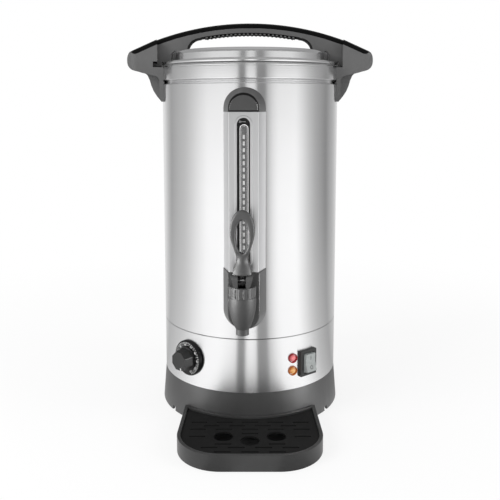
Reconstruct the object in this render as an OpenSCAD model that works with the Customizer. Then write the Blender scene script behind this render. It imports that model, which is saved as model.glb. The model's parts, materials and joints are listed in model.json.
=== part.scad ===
// Hot water urn: a plain stainless boiler with a gravity tap, a sight gauge, a bayonet lid and a drip tray.
// Millimetres. The origin is on the floor on the axis of the tank, +Z is up and the tap faces -Y.

/* [Body] */
// Outside radius of the tank and of the control band
body_r = 110; // [108:1:112]
// Sheet thickness of the stainless shells
sheet = 0.8; // [0.6:0.1:1]
// Height of the plastic base ring
base_h = 44; // [42:1:46]
// Extra radius of the base ring at the floor
base_flare = 3.4; // [2:0.1:3.8]
// Height of the seam between the control band and the tank
seam_z = 109; // [108:1:110]
// Height of the middle of the rolled groove
groove_z = 407; // [405:1:409]

/* [Lid and handles] */
// Height of the flat top of the lid
lid_top_z = 445; // [444:0.5:446]
// Radius of the raised wall of the lid
lid_wall_r = 97.6; // [96:0.2:98]
// Height of the crown of the arched lid handle
crown_z = 480; // [478:1:484]
// Radius of the arch
arch_r = 341; // [335:1:345]
// Depth of the lid handle, front to back
lid_handle_d = 30; // [28:1:34]
// Depth of a carrying handle, front to back
side_handle_d = 60; // [58:1:64]

/* [Gauge and tap] */
// Angle of the gauge and the tap round the tank, from the front
panel_turn = -3.2; // [-5:0.1:0]
// How far the gauge cover stands off the tank
panel_off = 18; // [18:0.5:20]
// Half the width of the gauge cover at the tank
panel_half = 24; // [23:0.5:25]
// Height of the joint between the tap housing and the gauge cover
cover_low_z = 193.6; // [192:0.2:195]
// Height of the joint between the gauge cover and its cap
cover_high_z = 372.2; // [368:0.2:374]
// Distance from the tank wall to the axis of the tap
tap_off = 38.5; // [38:0.5:42]
// Largest radius of the tap body
tap_r = 15.1; // [14.8:0.1:15.6]

/* [Controls] */
// Height of the thermostat knob
knob_z = 77.5; // [76:0.5:79]
// Angle of the thermostat knob round the band
knob_turn = -41.5; // [-44:0.5:-38]
// Radius of the dial plate
dial_r = 21.5; // [20:0.5:22]
// Angle of the pilot lamps round the band
lamp_turn = 27.3; // [26:0.1:28]
// Angle of the switch round the band
switch_turn = 38.3; // [37.5:0.1:40]
// Height of the middle of the switch
switch_z = 73.6; // [72:0.2:75]

/* [Drip tray] */
// Distance from the tank axis to the front of the tray
tray_front = 205; // [200:1:210]
// Half the width of the tray at its front
tray_half = 81; // [79:1:83]
// Height of the tray's rim
tray_h = 18.5; // [18:0.5:20]
// Radius of the tray's front corners
tray_corner = 50; // [46:1:52]

/* [Hidden] */
$fn = 96;

in_r = body_r - sheet;            // inside radius of the shells
touch = 0.05;                     // gap left where two parts of one body meet
slip = 0.3;                       // gap left where a moving part passes another

// base
ring_low_z = 2;                   // lower edge of the base ring, clear of the floor
ring_wall = 3;
ledge_t = 3;
ledge_r = body_r - 12;
plate_z = 6;                      // underside of the bottom plate
plate_t = 1.2;
boss_r = 5;
boss_at = body_r - 9;
foot_at = body_r - 25;
foot_r = 10;
// angle and radius of each foot: four round the plate, and one in its middle that keeps it from sagging
foot_spots = [[45, foot_at], [135, foot_at], [225, foot_at], [315, foot_at], [0, 0]];
stud_at = body_r - 8;
stud_r = 2.5;
vent_turns = [-56.5, 56.5, 118, 180, -118];
vent_w = 6.4;                     // air notches in the lower edge of the base ring
vent_z = 6.8;

// tank
floor_z = 118;                    // underside of the tank floor
rim_z = 427;
rim_bead = 2;
groove_d = 3;
groove_half = 3.25;

// lid
flange_z = rim_z + 4.9;           // top of the lid's rolled flange
flange_under = flange_z - 2.4;
shoulder_r = 5;
lid_gap = 1.5;                    // gap between the handle's feet and the lid's wall
seam_r = body_r + 7;              // radius at which the lid handle meets the carrying handles
lug_r = seam_r + 4.5;
lug_low = 426.8;
lug_high = 430.5;
pocket_low = 425.3;
pocket_high = 432.3;
lug_len = lid_handle_d / 2;
arch_z = crown_z - arch_r;        // height of the arch's centre
arch_t = 12;                      // thickness of the arch at the crown
arch_open = 78;                   // half the width of the opening under the arch
arch_corner = 16;
screw_x = 84;
screw_y = 10;

// carrying handle, seen from the front: x outwards from the tank axis, z up
nose = [138.6, 434];              // centre of the rounded end
nose_r = 13.2;
wing_slope = 24.1;                // fall of the top line, in degrees
handle_low = 383.5;
gusset_half = 17;
bevel = 6.4;                      // height of the bevel along the top edges

// panel
face_y = -(body_r + panel_off);   // front face of the gauge cover
front_half = panel_half - 7;
tube_y = face_y + 9.2;
tube_r = 4.75;
slot_r = 7.3;
slot_low = 200.4;
slot_high = 365.9;
cap_mid = cover_high_z + 4.3;
cap_screw_z = cap_mid + 10;
housing_wall = 2.5;
housing_mid = 145.5;

// tap
tap_y = -(body_r + tap_off);
spout_z = 129;
spout_r = 7.2;
belly_z = 167;
belly_arc = 68;
bonnet_z = 171.6;
bonnet_top = 183.6;
shank_z = 157;
shank_r = 9;
seat_z = 152;
chamber_r = 11;
pivot = [-5, 191.3];              // lever pin, y from the tap axis and z
link = [0.5, 188.6];              // pin that lifts the stem
cheek_r = 6.8;
slot_half = 4.5;
pin_r = 1.6;
link_r = 1.3;
stem_r = 2.5;
loop_mid = 244;
spring_low = 160.6;
spring_high = 178.6;
spring_turns = 6;
spring_mid = 5.9;
wire_r = 0.6;

// tray
rim_w = 4;
grille_z = 14.5;
grille_t = 2;
rear_r = body_r + base_flare + 0.6;
slot_pitch = 29.2;
row_pitch = 8.45;
first_row = 126.6;
// rows of slots: the row's number, and the columns of its slots in slot pitches from the middle
rows = [
    [0, [-2, -1, 0, 1, 2]], [1, [-1.5, -0.5, 0.5, 1.5]], [2, [-2, -1, 0, 1, 2]], [3.2, [0]],
    [4, [-2, 2]], [6, [-1, 1]], [6.9, [-1.5, -0.5, 0.5, 1.5]], [8, [-1, 0, 1]]
];
cup_holes = [[-slot_pitch, 160], [0, 170], [slot_pitch, 160]];
cup_hole_r = 10.75;

// Points of an arc about [x, y] from angle a to angle b.
function arc(x, y, r, a, b, n = 10) =
    [for (i = [0:n]) let (t = a + (b - a) * i / n) [x + r * cos(t), y + r * sin(t)]];

// Points of an ellipse about [x, y] with half axes a and b.
function ellipse(x, y, a, b, n = 60) =
    [for (i = [0:n - 1]) [x + a * cos(360 * i / n), y + b * sin(360 * i / n)]];

// Turns its children round the tank: 0 faces the front and positive goes to the right.
module round_tank(a) rotate([0, 0, a]) children();

// Puts its children on a radial axis: their +Z points outwards, their +Y up.
module outward(a, r, z) round_tank(a) translate([0, -r, z]) rotate([90, 0, 0]) children();

// Extrudes an outline drawn in x and z along Y, between y = from and y = to.
module front_outline(from, to) translate([0, to, 0]) rotate([90, 0, 0]) linear_extrude(to - from) children();

// Everything inside radius r between two heights.
module core(r, low, high) translate([0, 0, low]) cylinder(r = r, h = high - low, $fn = 180);

// ---- base ----

module base_ring() color("#454647") difference() {
    union() {
        rotate_extrude($fn = 180) polygon([
            [body_r + base_flare, ring_low_z], [body_r, base_h], [in_r - touch, base_h],
            [in_r - touch, base_h + 4], [in_r - 2.4, base_h + 4], [in_r - 2.4, base_h],
            [ledge_r, base_h], [ledge_r, base_h - ledge_t], [body_r - ring_wall, base_h - ledge_t],
            [body_r + base_flare - ring_wall, ring_low_z]
        ]);
        for (a = [45:90:315]) outward_post(a, boss_at, boss_r, plate_z + plate_t, base_h - ledge_t + 1);
    }
    for (a = [45:90:315]) outward_post(a, boss_at, 2, plate_z, 28);
    for (a = [0:120:240]) outward_post(a, stud_at, stud_r + 0.5, base_h - 10, base_h + 1);
    for (a = vent_turns) round_tank(a) translate([-vent_w / 2, -body_r - 6, 0]) cube([vent_w, 12, vent_z]);
    for (s = [-1, 1]) translate([s * 30 - 7, -body_r - 6, 6.5]) cube([14, 16, 8.5]);
}

// An upright post on the radius at angle a.
module outward_post(a, at, r, low, high)
    round_tank(a) translate([0, -at, low]) cylinder(r = r, h = high - low);

module base_plate() color("silver") difference() {
    core(body_r - 2, plate_z, plate_z + plate_t);
    for (a = [45:90:315]) outward_post(a, boss_at, 2.2, 0, 20);
    for (spot = foot_spots) outward_post(spot[0], spot[1], 3.1, 0, 20);
    for (a = [0:30:330]) round_tank(a) translate([-2, -62, 0]) cube([4, 34, 20]);
}

module feet() color("#202020") for (spot = foot_spots) {
    outward_post(spot[0], spot[1], foot_r - 1, 0, 2);
    outward_post(spot[0], spot[1], foot_r, 2, plate_z);
    outward_post(spot[0], spot[1], 3, plate_z, plate_z + plate_t + 0.2);
    outward_post(spot[0], spot[1], 4.2, plate_z + plate_t + 0.1, plate_z + 3.2);
}

module base_screws() color("gainsboro") for (a = [45:90:315]) {
    outward_post(a, boss_at, 3.6, plate_z - 2.4, plate_z - touch);
    outward_post(a, boss_at, 1.9, plate_z - 1, 24);
}

module tie_studs() color("gainsboro") for (a = [0:120:240]) outward_post(a, stud_at, stud_r, 32, floor_z);

module tie_nuts() color("gainsboro") for (a = [0:120:240]) difference() {
    round_tank(a) translate([0, -stud_at, 36.9]) {
        cylinder(r = 4.6, h = 3.1, $fn = 6);
        translate([0, 0, 3]) cylinder(r = 4.8, h = 1);
    }
    outward_post(a, stud_at, stud_r + touch, 30, 50);
}

module control_band() color("#d9dadb") difference() {
    rotate_extrude($fn = 180) polygon([
        [body_r, base_h + touch], [body_r, seam_z - 0.9], [body_r - 0.6, seam_z], [ledge_r, seam_z],
        [ledge_r, seam_z - sheet], [in_r, seam_z - sheet], [in_r, base_h + touch]
    ]);
    for (a = [0:120:240]) outward_post(a, stud_at, stud_r + 0.5, seam_z - 3, seam_z + 1);
    outward(knob_turn, body_r - 6, knob_z) cylinder(r = 4.7, h = 12);
    for (z = [67, 82.4]) outward(lamp_turn, body_r - 6, z) cylinder(r = 5, h = 12);
    outward(switch_turn, body_r - 6, switch_z) translate([-9.7, -13.7, 0]) cube([19.4, 27.4, 12]);
    outward(180, body_r - 6, 66) cylinder(r = 8.2, h = 12);
}

// ---- tank and what heats it ----

module tank() color("#dedfe0") difference() {
    union() {
        rotate_extrude($fn = 180) polygon([
            [body_r - 0.4, seam_z + touch], [body_r, seam_z + 0.6],
            [body_r, groove_z - groove_half], [body_r - groove_d, groove_z], [body_r, groove_z + groove_half],
            [body_r, rim_z - rim_bead], [in_r, rim_z - rim_bead],
            [in_r, groove_z + groove_half], [in_r - groove_d, groove_z], [in_r, groove_z - groove_half],
            [in_r, floor_z + 5], [in_r - 4, floor_z + 1], [0, floor_z + 1], [0, floor_z],
            [in_r - 4.4, floor_z], [in_r, floor_z - 0.5], [in_r, seam_z + touch]
        ]);
        rotate_extrude($fn = 180) translate([body_r - 0.2 - rim_bead, rim_z - rim_bead]) circle(rim_bead);
    }
    outward(panel_turn, body_r - 6, shank_z) cylinder(r = shank_r + 0.2, h = 12);
    outward(panel_turn, body_r - 6, cap_screw_z) cylinder(r = 2.3, h = 12);
    for (a = [-90, 90], z = [396, 417]) outward(a, body_r - 6, z) cylinder(r = 2.7, h = 12);
}

module heater_disc() color("#b9bcbf") core(70, floor_z - 5, floor_z - touch);

module heater_element() color("#8c8f92") {
    translate([0, 0, floor_z - 9.1]) rotate([0, 0, -60]) rotate_extrude(angle = 300)
        translate([52, 0]) circle(4);
    for (a = [-56, 236]) rotate([0, 0, a]) translate([52, 0, floor_z - 26]) cylinder(r = 3.2, h = 17);
}

module dry_cutout() color("#2b2b2c") {
    core(8.5, floor_z - 14, floor_z - 5.1);
    core(11, floor_z - 8, floor_z - 7);
    for (s = [-1, 1]) translate([s * 4 - 0.4, -3, floor_z - 23]) cube([0.8, 6, 9.5]);
}

// ---- thermostat ----

module thermostat() color("#4b4c4e") difference() {
    union() {
        outward(knob_turn, body_r - 30, knob_z) translate([-16, -15, 0]) cube([32, 30, 20]);
        outward(knob_turn, body_r - 10, knob_z) translate([-19, -13, 0]) cube([38, 26, 1.2]);
        outward(knob_turn, body_r - 10, knob_z) cylinder(r = 4.5, h = 13.4);
    }
    outward(knob_turn, body_r - 26, knob_z) cylinder(r = 3.05, h = 40);
}

module thermostat_shaft() color("silver")
    outward(knob_turn, body_r - 25.5, knob_z) cylinder(r = 3, h = 38);

module thermostat_bulb() color("#b87333") {
    translate([-40, 84, floor_z - 3.6]) rotate([0, 90, 0]) cylinder(r = 3, h = 80);
    for (x = [-26, 26]) translate([x - 4, 79, floor_z - 7.6]) difference() {
        cube([8, 10, 7.5]);
        translate([-1, 5, 4]) rotate([0, 90, 0]) cylinder(r = 3, h = 10);
    }
}

// A round plate that stands on the curved band.
module seated_disc(a, z, r, front) difference() {
    outward(a, body_r - 4, z) children();
    core(body_r + touch, z - r - 4, z + r + 4);
}

module dial_plate() color("#1c1c1d") difference() {
    seated_disc(knob_turn, knob_z, dial_r, 8) {
        cylinder(r = dial_r, h = 6.6);
        translate([0, 0, 6.6]) cylinder(r1 = dial_r, r2 = dial_r - 1.6, h = 1.4);
    }
    outward(knob_turn, body_r - 6, knob_z) cylinder(r = 4.7, h = 20);
}

module knob() color("#2f3031") difference() {
    union() {
        outward(knob_turn, body_r + 4 + slip, knob_z) cylinder(r = 14.2, h = 1.6);
        outward(knob_turn, body_r + 5.5, knob_z) rotate([0, 0, 22.5])
            cylinder(r1 = 13.6, r2 = 11.6, h = 12.8, $fn = 8);
    }
    outward(knob_turn, body_r, knob_z) cylinder(r = 4.9, h = 5.5);
    outward(knob_turn, body_r, knob_z) cylinder(r = 3.05, h = 12.6);
}

// ---- supply and wiring ----

module terminal_block() color("ivory") difference() {
    translate([10, 36, plate_z + plate_t + touch]) cube([42, 20, 15]);
    for (x = [17:9.3:46]) translate([x, 46, 12]) cylinder(r = 2, h = 30);
}

module cord_gland() color("#2b2b2c") difference() {
    union() {
        outward(180, body_r - 12, 66) cylinder(r = 8, h = 24);
        outward(180, body_r + 0.4, 66) cylinder(r = 11, h = 5);
        outward(180, body_r + 12, 66) cylinder(r1 = 8, r2 = 6.4, h = 8);
        outward(180, body_r - 8, 66) cylinder(r = 11.5, h = 5, $fn = 6);
    }
    outward(180, body_r - 14, 66) cylinder(r = 3.8, h = 40);
}

// A lead that runs straight between its points.
module lead(points, r = 1.4) for (i = [0:len(points) - 2]) hull() {
    translate(points[i]) sphere(r, $fn = 8);
    translate(points[i + 1]) sphere(r, $fn = 8);
}

module wiring() {
    color("#8a5a2b") lead([[24, 46, 24], [26, 50, 60], [30, 50, 90]]);
    color("#2f5fa8") lead([[36, 46, 24], [40, 40, 40], [54, -55, 60], [56, -70.8, 72]]);
    color("#3f8f4a") lead([[45, 46, 24], [60, 60, 34], [20, 88, 40], [4, 92, 60]]);
    color("#8a5a2b") lead([[16, 46, 24], [-20, 20, 34], [-48, -42, 50], [-52, -57, 62]]);
}

// ---- lamps and switch ----

module lamp(z) {
    outward(lamp_turn, body_r - 14, z) cylinder(r = 4.8, h = 15);
    seated_disc(lamp_turn, z, 6, 4) cylinder(r = 5.7, h = 6);
    outward(lamp_turn, body_r + 1.9, z) intersection() {
        translate([0, 0, -3.6]) sphere(r = 5.6);
        cylinder(r = 4.2, h = 4);
    }
}

module lamp_red() color("#b3201f") lamp(82.4);

module lamp_amber() color("#e08a1e") lamp(67);

module lamp_holders() color("#2b2b2c") for (z = [67, 82.4]) outward(lamp_turn, body_r - 10, z) difference() {
    cylinder(r = 6.8, h = 6);
    translate([0, 0, -1]) cylinder(r = 4.85, h = 9);
}

module switch_frame() color("#333435") difference() {
    union() {
        outward(switch_turn, body_r - 18, switch_z) translate([-9.5, -13.5, 0]) cube([19, 27, 21]);
        seated_disc(switch_turn, switch_z, 16, 6) translate([-12.3, -15.4, 0]) cube([24.6, 30.8, 7.6]);
    }
    outward(switch_turn, body_r - 12, switch_z) translate([-7.9, -12.3, 0]) cube([15.8, 24.6, 20]);
    outward(switch_turn, body_r, switch_z) rotate([0, 90, 0]) cylinder(r = 1.55, h = 17.4, center = true);
}

// The rocker turns about a level axis in the frame. At rest its upper end is pressed in.
module rocker() color("#dfe3e2") outward(switch_turn, body_r, switch_z) rotate([-8, 0, 0]) {
    rotate([0, 90, 0]) cylinder(r = 1.5, h = 17, center = true);
    translate([-7.5, 0, 0]) rotate([90, 0, 90]) linear_extrude(15)
        polygon([[-11.4, -3], [11.4, -3], [10.5, 8.6], [0, 7.2], [-10.5, 8.6]]);
}

// ---- carrying handles ----

// The handle's outline from the front: hood, rounded end and the flange that runs down the tank.
module wing_outline() {
    top = nose + nose_r * [sin(wing_slope), cos(wing_slope)];
    under = nose + nose_r * [sin(14), -cos(14)];
    start_x = 96;
    inner_z = under[1] - (under[0] - 118) * tan(14);
    polygon(concat(
        [[start_x, top[1] + (top[0] - start_x) * tan(wing_slope)]],
        arc(nose[0], nose[1], nose_r, 90 - wing_slope, -76, 16),
        arc(118, inner_z - 7.2, 7.2, 90, 180, 6),
        [[110.8, 388], [109, handle_low], [start_x, handle_low]]
    ));
}

// The bracket in the middle of the handle, which carries its load down the tank.
module gusset_outline() polygon([
    [96, 430], [132, 430], [130, 418.4], [127.2, 415.8], [124.6, 410], [122.8, 403.4], [120, 396.6],
    [115.8, 390.1], [110.4, handle_low], [96, handle_low]
]);

// Everything inside the rounded plan of the handle's outer end.
module wing_plan() {
    round_r = 15;
    half = side_handle_d / 2;
    end = nose[0] + nose_r + 0.8;
    translate([0, 0, handle_low - 1]) linear_extrude(120) polygon(concat(
        [[90, half], [90, -half]], arc(end - round_r, round_r - half, round_r, -90, 0, 12),
        arc(end - round_r, half - round_r, round_r, 0, 90, 12)
    ));
}

// Everything under the bevelled top skin of the handle.
module wing_skin() {
    half = side_handle_d / 2;
    translate([nose[0], 0, nose[1]]) rotate([0, wing_slope, 0]) translate([-90, 0, 0]) rotate([90, 0, 90])
        linear_extrude(150) polygon([
            [-half - 1, -90], [half + 1, -90], [half + 1, nose_r - bevel - 2.2], [half - 2, nose_r - 2],
            [half - 6, nose_r - 0.1], [6 - half, nose_r - 0.1], [2 - half, nose_r - 2],
            [-half - 1, nose_r - bevel - 2.2]
        ]);
}

// The finger pocket under the hood.
module finger_pocket() {
    half = side_handle_d / 2 - 5;
    front_outline(-half, half)
        polygon([[130.5, 410], [130.5, 443.6], [140, 439.4], [146.6, 434], [146.6, 410]]);
}

// The carrying handle on the +X side. The lid's lug drops in beside the roof and turns in under it.
module side_handle() intersection() {
    difference() {
        intersection() {
            union() {
                front_outline(-side_handle_d / 2 - 2, side_handle_d / 2 + 2) wing_outline();
                front_outline(-gusset_half, gusset_half) gusset_outline();
            }
            wing_plan();
        }
        core(body_r + touch, handle_low - 5, pocket_low + 1);
        core(seam_r, pocket_low, crown_z);
        finger_pocket();
        lug_space(lug_r + 0.8, 3 - side_handle_d / 2, side_handle_d, pocket_low + 0.1, pocket_high);
        lug_space(lug_r + 0.5, -0.5, lug_len + 0.5, pocket_low + 1, crown_z);
        for (z = [396, 417]) outward(90, body_r - 2, z) cylinder(r = 2.2, h = 11);
    }
    wing_skin();
}

// Room for a lug: out to radius r, between y = from and y = to and between two heights.
module lug_space(r, from, to, low, high) translate([0, 0, low]) linear_extrude(high - low) intersection() {
    circle(r, $fn = 180);
    translate([100, from]) square([40, to - from]);
}

module right_handle() color("#4a4b4c") side_handle();

module left_handle() color("#4a4b4c") rotate([0, 0, 180]) side_handle();

module handle_screws() color("gainsboro") for (a = [-90, 90], z = [396, 417]) {
    outward(a, in_r - 3.2, z) cylinder(r = 4.6, h = 3);
    outward(a, in_r - 1, z) cylinder(r = 2.1, h = 9.6);
}

// ---- sight gauge ----

// The channel's section seen from above, at a distance t inside its outer faces.
module channel_section(t) polygon([
    [-panel_half + t, -body_r + 6], [-panel_half + t, -body_r + 3], [-front_half + t, face_y + t],
    [front_half - t, face_y + t], [panel_half - t, -body_r + 3], [panel_half - t, -body_r + 6]
]);

// Half a cone on a level axis, which ends the channel: its round side is up where s is 1 and down at -1.
module channel_end(z, s, t) intersection() {
    translate([0, -body_r + 3, z]) rotate([90, 0, 0])
        cylinder(r1 = panel_half - t, r2 = front_half - t, h = panel_off + 3 - t);
    translate([-50, -body_r - 50, s > 0 ? z : z - 50]) cube([100, 100, 50]);
}

// A slot with round ends between two heights, from y = a to y = b.
module tall_slot(r, low, high, a, b) front_outline(a, b) {
    translate([0, low + r]) circle(r);
    translate([0, high - r]) circle(r);
    translate([-r, low + r]) square([2 * r, high - low - 2 * r]);
}

module gauge_cover() color("#c9cacb") round_tank(panel_turn) difference() {
    union() {
        translate([0, 0, cover_low_z + touch]) linear_extrude(cover_high_z - cover_low_z - 2 * touch)
            channel_section(0);
        tall_slot(slot_r + 2.6, slot_low - 2.6, slot_high + 2.6, face_y - 0.7, face_y + 1);
    }
    translate([0, 0, cover_low_z - 1]) linear_extrude(cover_high_z - cover_low_z + 2) channel_section(sheet);
    tall_slot(slot_r, slot_low, slot_high, face_y - 2, face_y + 3);
    core(body_r + touch, cover_low_z - 1, cover_high_z + 1);
}

module gauge_cap() color("#454647") round_tank(panel_turn) difference() {
    union() {
        translate([0, 0, cover_high_z]) linear_extrude(cap_mid - cover_high_z) channel_section(0);
        channel_end(cap_mid, 1, 0);
        translate([-12, face_y + 1, cover_high_z]) cube([24, panel_off - 2, 2]);
    }
    difference() {
        union() {
            translate([0, 0, cover_high_z - 1]) linear_extrude(cap_mid - cover_high_z + 1)
                channel_section(2.5);
            channel_end(cap_mid - 0.3, 1, 2.6);
        }
        translate([0, -body_r + 3, cap_screw_z]) rotate([90, 0, 0]) cylinder(r = 5, h = panel_off + 3);
        translate([-30, face_y, cover_high_z - 2]) cube([60, 40, 4]);
    }
    translate([0, -body_r + 3, cap_screw_z]) rotate([90, 0, 0]) cylinder(r = 1.95, h = panel_off - 1);
    core(body_r + touch, cover_high_z - 1, cap_mid + 40);
}

module gauge_screw() color("gainsboro") {
    outward(panel_turn, in_r - 2.8, cap_screw_z) cylinder(r = 4, h = 2.6);
    outward(panel_turn, in_r - 1, cap_screw_z) cylinder(r = 1.9, h = 12);
}

module gauge_tube() color("#dfe8ec") round_tank(panel_turn) translate([0, tube_y, 0]) difference() {
    union() {
        translate([0, 0, 170]) cylinder(r = tube_r, h = 358.4 - tube_r - 170);
        translate([0, 0, 358.4 - tube_r]) sphere(r = tube_r);
    }
    translate([0, 0, 169]) cylinder(r = tube_r - 1.6, h = 358.4 - tube_r - 169);
    translate([0, 0, 340]) cylinder(r = 0.8, h = 30);
}

module gauge_seals() color("#b9453a") round_tank(panel_turn) translate([0, tube_y, 0]) {
    difference() {
        translate([0, 0, 171]) cylinder(r = 6.05, h = 11.2);
        translate([0, 0, 170]) cylinder(r = tube_r + touch, h = 14);
    }
}

module gauge_backing() color("#161616") round_tank(panel_turn)
    translate([-12, -body_r - 2.6, cover_low_z + 1]) cube([24, 1.2, cover_high_z - cover_low_z - 2]);

// ---- tap ----

module tap_housing() color("#454647") round_tank(panel_turn) difference() {
    union() {
        translate([0, 0, housing_mid]) linear_extrude(cover_low_z - housing_mid) housing_section(0);
        channel_end_housing(0);
    }
    translate([0, 0, housing_mid - 0.01]) linear_extrude(cover_low_z - 2 - housing_mid)
        housing_section(housing_wall);
    channel_end_housing(housing_wall);
    translate([0, tube_y, 180]) cylinder(r = 6.4, h = 20);
    translate([0, -body_r + 3, shank_z]) rotate([90, 0, 0]) cylinder(r = shank_r + 0.2, h = 40);
    core(body_r + touch, 100, cover_low_z + 1);
}

// The housing stands slightly proud of the channel above it.
module housing_section(t) channel_section(t - 0.8);

module channel_end_housing(t) channel_end(housing_mid, -1, t - 0.8);

module tap_body() color("#47484a") round_tank(panel_turn) difference() {
    union() {
        translate([0, tap_y, 0]) {
            rotate_extrude() intersection() {
                translate([tap_r - belly_arc, belly_z]) circle(belly_arc, $fn = 180);
                translate([0, spout_z + 6]) square([tap_r, bonnet_z - spout_z - 6]);
            }
            translate([0, 0, spout_z]) cylinder(r = spout_r, h = 12);
        }
        translate([0, -96, shank_z]) rotate([90, 0, 0]) cylinder(r = shank_r, h = -tap_y - 96);
        translate([0, tube_y, shank_z]) cylinder(r = 7, h = 25);
    }
    translate([0, tap_y, bonnet_z]) cylinder(r = 15.6, h = 4);
    translate([0, tap_y, seat_z]) cylinder(r = chamber_r, h = 30);
    translate([0, tap_y, spout_z - 1]) cylinder(r = 5.5, h = 40);
    translate([0, -95, shank_z]) rotate([90, 0, 0]) cylinder(r = 4.6, h = -tap_y - 95);
    translate([0, tube_y, shank_z]) cylinder(r = 3.1, h = 30);
    translate([0, tube_y, 169.5]) cylinder(r = 6.1, h = 30);
}

// The bonnet screws into the body, guides the stem and carries the lever in its fork.
module tap_bonnet() color("#47484a") round_tank(panel_turn) translate([0, tap_y, 0]) difference() {
    union() {
        translate([0, 0, bonnet_z + touch]) cylinder(r = 14.5, h = bonnet_top - bonnet_z - touch);
        translate([0, 0, 168]) cylinder(r = chamber_r - 0.15, h = 4);
        for (a = [0:20:340]) rotate([0, 0, a]) translate([13.7, 0, bonnet_z + 0.8])
            cylinder(r = 1.3, h = bonnet_top - bonnet_z - 1.6);
        intersection() {
            front_outline(-16, 16) polygon([[-8.3, bonnet_top - 1], [8.3, bonnet_top - 1],
                [13, pivot[1] + cheek_r], [-13, pivot[1] + cheek_r]]);
            union() {
                on_pin(pivot) cylinder(r = cheek_r, h = 40, center = true);
                translate([-20, pivot[0] - cheek_r, bonnet_top - 2])
                    cube([40, 2 * cheek_r, pivot[1] - bonnet_top + 2]);
            }
        }
    }
    translate([-slot_half, -20, bonnet_top]) cube([2 * slot_half, 40, 30]);
    translate([0, 0, 166]) cylinder(r = 8.5, h = spring_high + 0.4 - 166);
    translate([0, 0, 166]) cylinder(r = stem_r + 0.05, h = 30);
    on_pin(pivot) cylinder(r = pin_r + 0.02, h = 40, center = true);
}

// Puts its children on a level pin across the tap, at p = [y from the tap axis, z].
module on_pin(p) translate([0, p[0], p[1]]) rotate([0, 90, 0]) children();

module lever_pin() color("gainsboro") round_tank(panel_turn) translate([0, tap_y, 0])
    on_pin(pivot) cylinder(r = pin_r, h = 20, center = true);

module link_pin() color("gainsboro") round_tank(panel_turn) translate([0, tap_y, 0])
    on_pin(link) cylinder(r = link_r, h = 8.2, center = true);

// Right side of the lever below its loop, as half width and height: a narrow neck, then a bell over the fork.
lever_neck = [
    [13.6, 240.8], [12.4, 234.6], [10.4, 228.2], [8.3, 221.9], [7.1, 218.8], [6.35, 215.9], [6.15, 213.1],
    [6.8, 210.6], [7.9, 208.1], [9, 205.5], [9.8, 203], [10.4, 199.8], [10.6, 197.1]
];

// The lever seen from the front: an upright egg-shaped loop that runs into the neck and the bell.
module lever_outline() polygon(concat(
    [for (t = [180:-5:0]) [13.7 * cos(t), loop_mid + 23.6 * sin(t)]],
    lever_neck,
    [for (i = [len(lever_neck) - 1:-1:0]) [-lever_neck[i][0], lever_neck[i][1]]]
));

// The lever seen from its side: thin at the loop's top and deep at the skirt, y from the tap axis.
module lever_side() polygon([
    [-12, 196.1], [-10.6, 202], [-6.6, 210], [-5.5, 218], [-6.5, 243], [-5.5, 261], [-3.5, 268],
    [2, 268], [4.2, 261], [4.6, 243], [3.6, 218], [4.2, 210], [7, 202], [7.6, 196.1]
]);

module tap_lever() color("#4c4d4f") round_tank(panel_turn) translate([0, tap_y, 0]) difference() {
    union() {
        difference() {
            intersection() {
                front_outline(-16, 16) lever_outline();
                rotate([90, 0, 90]) translate([0, 0, -20]) linear_extrude(40) lever_side();
            }
            front_outline(-16, 16) polygon(ellipse(0, 238.1, 7.15, 18.2));
            on_pin(pivot) cylinder(r = cheek_r + slip, h = 60, center = true);
        }
        for (s = [-1, 1]) translate([s * 3 - 1.1, 0, 0]) rotate([90, 0, 90]) linear_extrude(2.2) {
            translate(pivot) circle(3.2);
            translate(link) circle(2.6);
            polygon([[-7.5, 191.3], [-6.4, 188.6], [0.5, 186], [3, 189.1], [-1.5, 200.6], [-7.5, 200.6]]);
        }
    }
    on_pin(pivot) cylinder(r = pin_r + 0.05, h = 60, center = true);
    on_pin(link) cylinder(r = link_r + 0.02, h = 60, center = true);
}

module valve_stem() color("silver") round_tank(panel_turn) translate([0, tap_y, 0]) difference() {
    union() {
        translate([0, 0, 155]) cylinder(r = stem_r, h = 30.6);
        translate([0, 0, spring_low - 1.6]) cylinder(r = 7.4, h = 1.2);
        translate([-1.5, -3, 185.2]) cube([3, 7.4, 7]);
    }
    eye = link_r + 0.4;
    translate([-5, link[0] - eye, link[1] - eye]) cube([10, 2 * eye + 0.7, 2 * eye]);
}

module seat_cup() color("#b9453a") round_tank(panel_turn) translate([0, tap_y, 0]) rotate_extrude()
    polygon([
        [0, seat_z + touch], [9, seat_z + touch], [9, 154.4], [6.4, 158.9], [stem_r + touch, 158.9],
        [stem_r + touch, 154.9], [0, 154.9]
    ]);

// Points of one ring of the spring's wire at turn t, in degrees.
function spring_ring(t) =
    let (z = spring_low + wire_r + (spring_high - spring_low - 2 * wire_r) * t / (360 * spring_turns))
    [for (i = [0:5]) let (r = spring_mid + wire_r * cos(60 * i))
        [r * cos(t), r * sin(t), z + wire_r * sin(60 * i)]];

module valve_spring() color("gainsboro") round_tank(panel_turn) translate([0, tap_y, 0]) {
    steps = 14 * spring_turns;
    points = [for (k = [0:steps]) for (p = spring_ring(360 * spring_turns * k / steps)) p];
    walls = [for (k = [0:steps - 1], i = [0:5]) let (j = (i + 1) % 6)
        [6 * k + i, 6 * k + 6 + i, 6 * k + 6 + j, 6 * k + j]];
    ends = [[0, 1, 2, 3, 4, 5], [for (i = [5:-1:0]) 6 * steps + i]];
    polyhedron(points, concat(walls, ends), convexity = 10);
}

module tap_nut() color("silver") round_tank(panel_turn) difference() {
    translate([0, -in_r + 3.2, shank_z]) rotate([-90, 0, 0]) cylinder(r = 14, h = 6, $fn = 6);
    translate([0, -90, shank_z]) rotate([90, 0, 0]) cylinder(r = shank_r + touch, h = 30);
}

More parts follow.
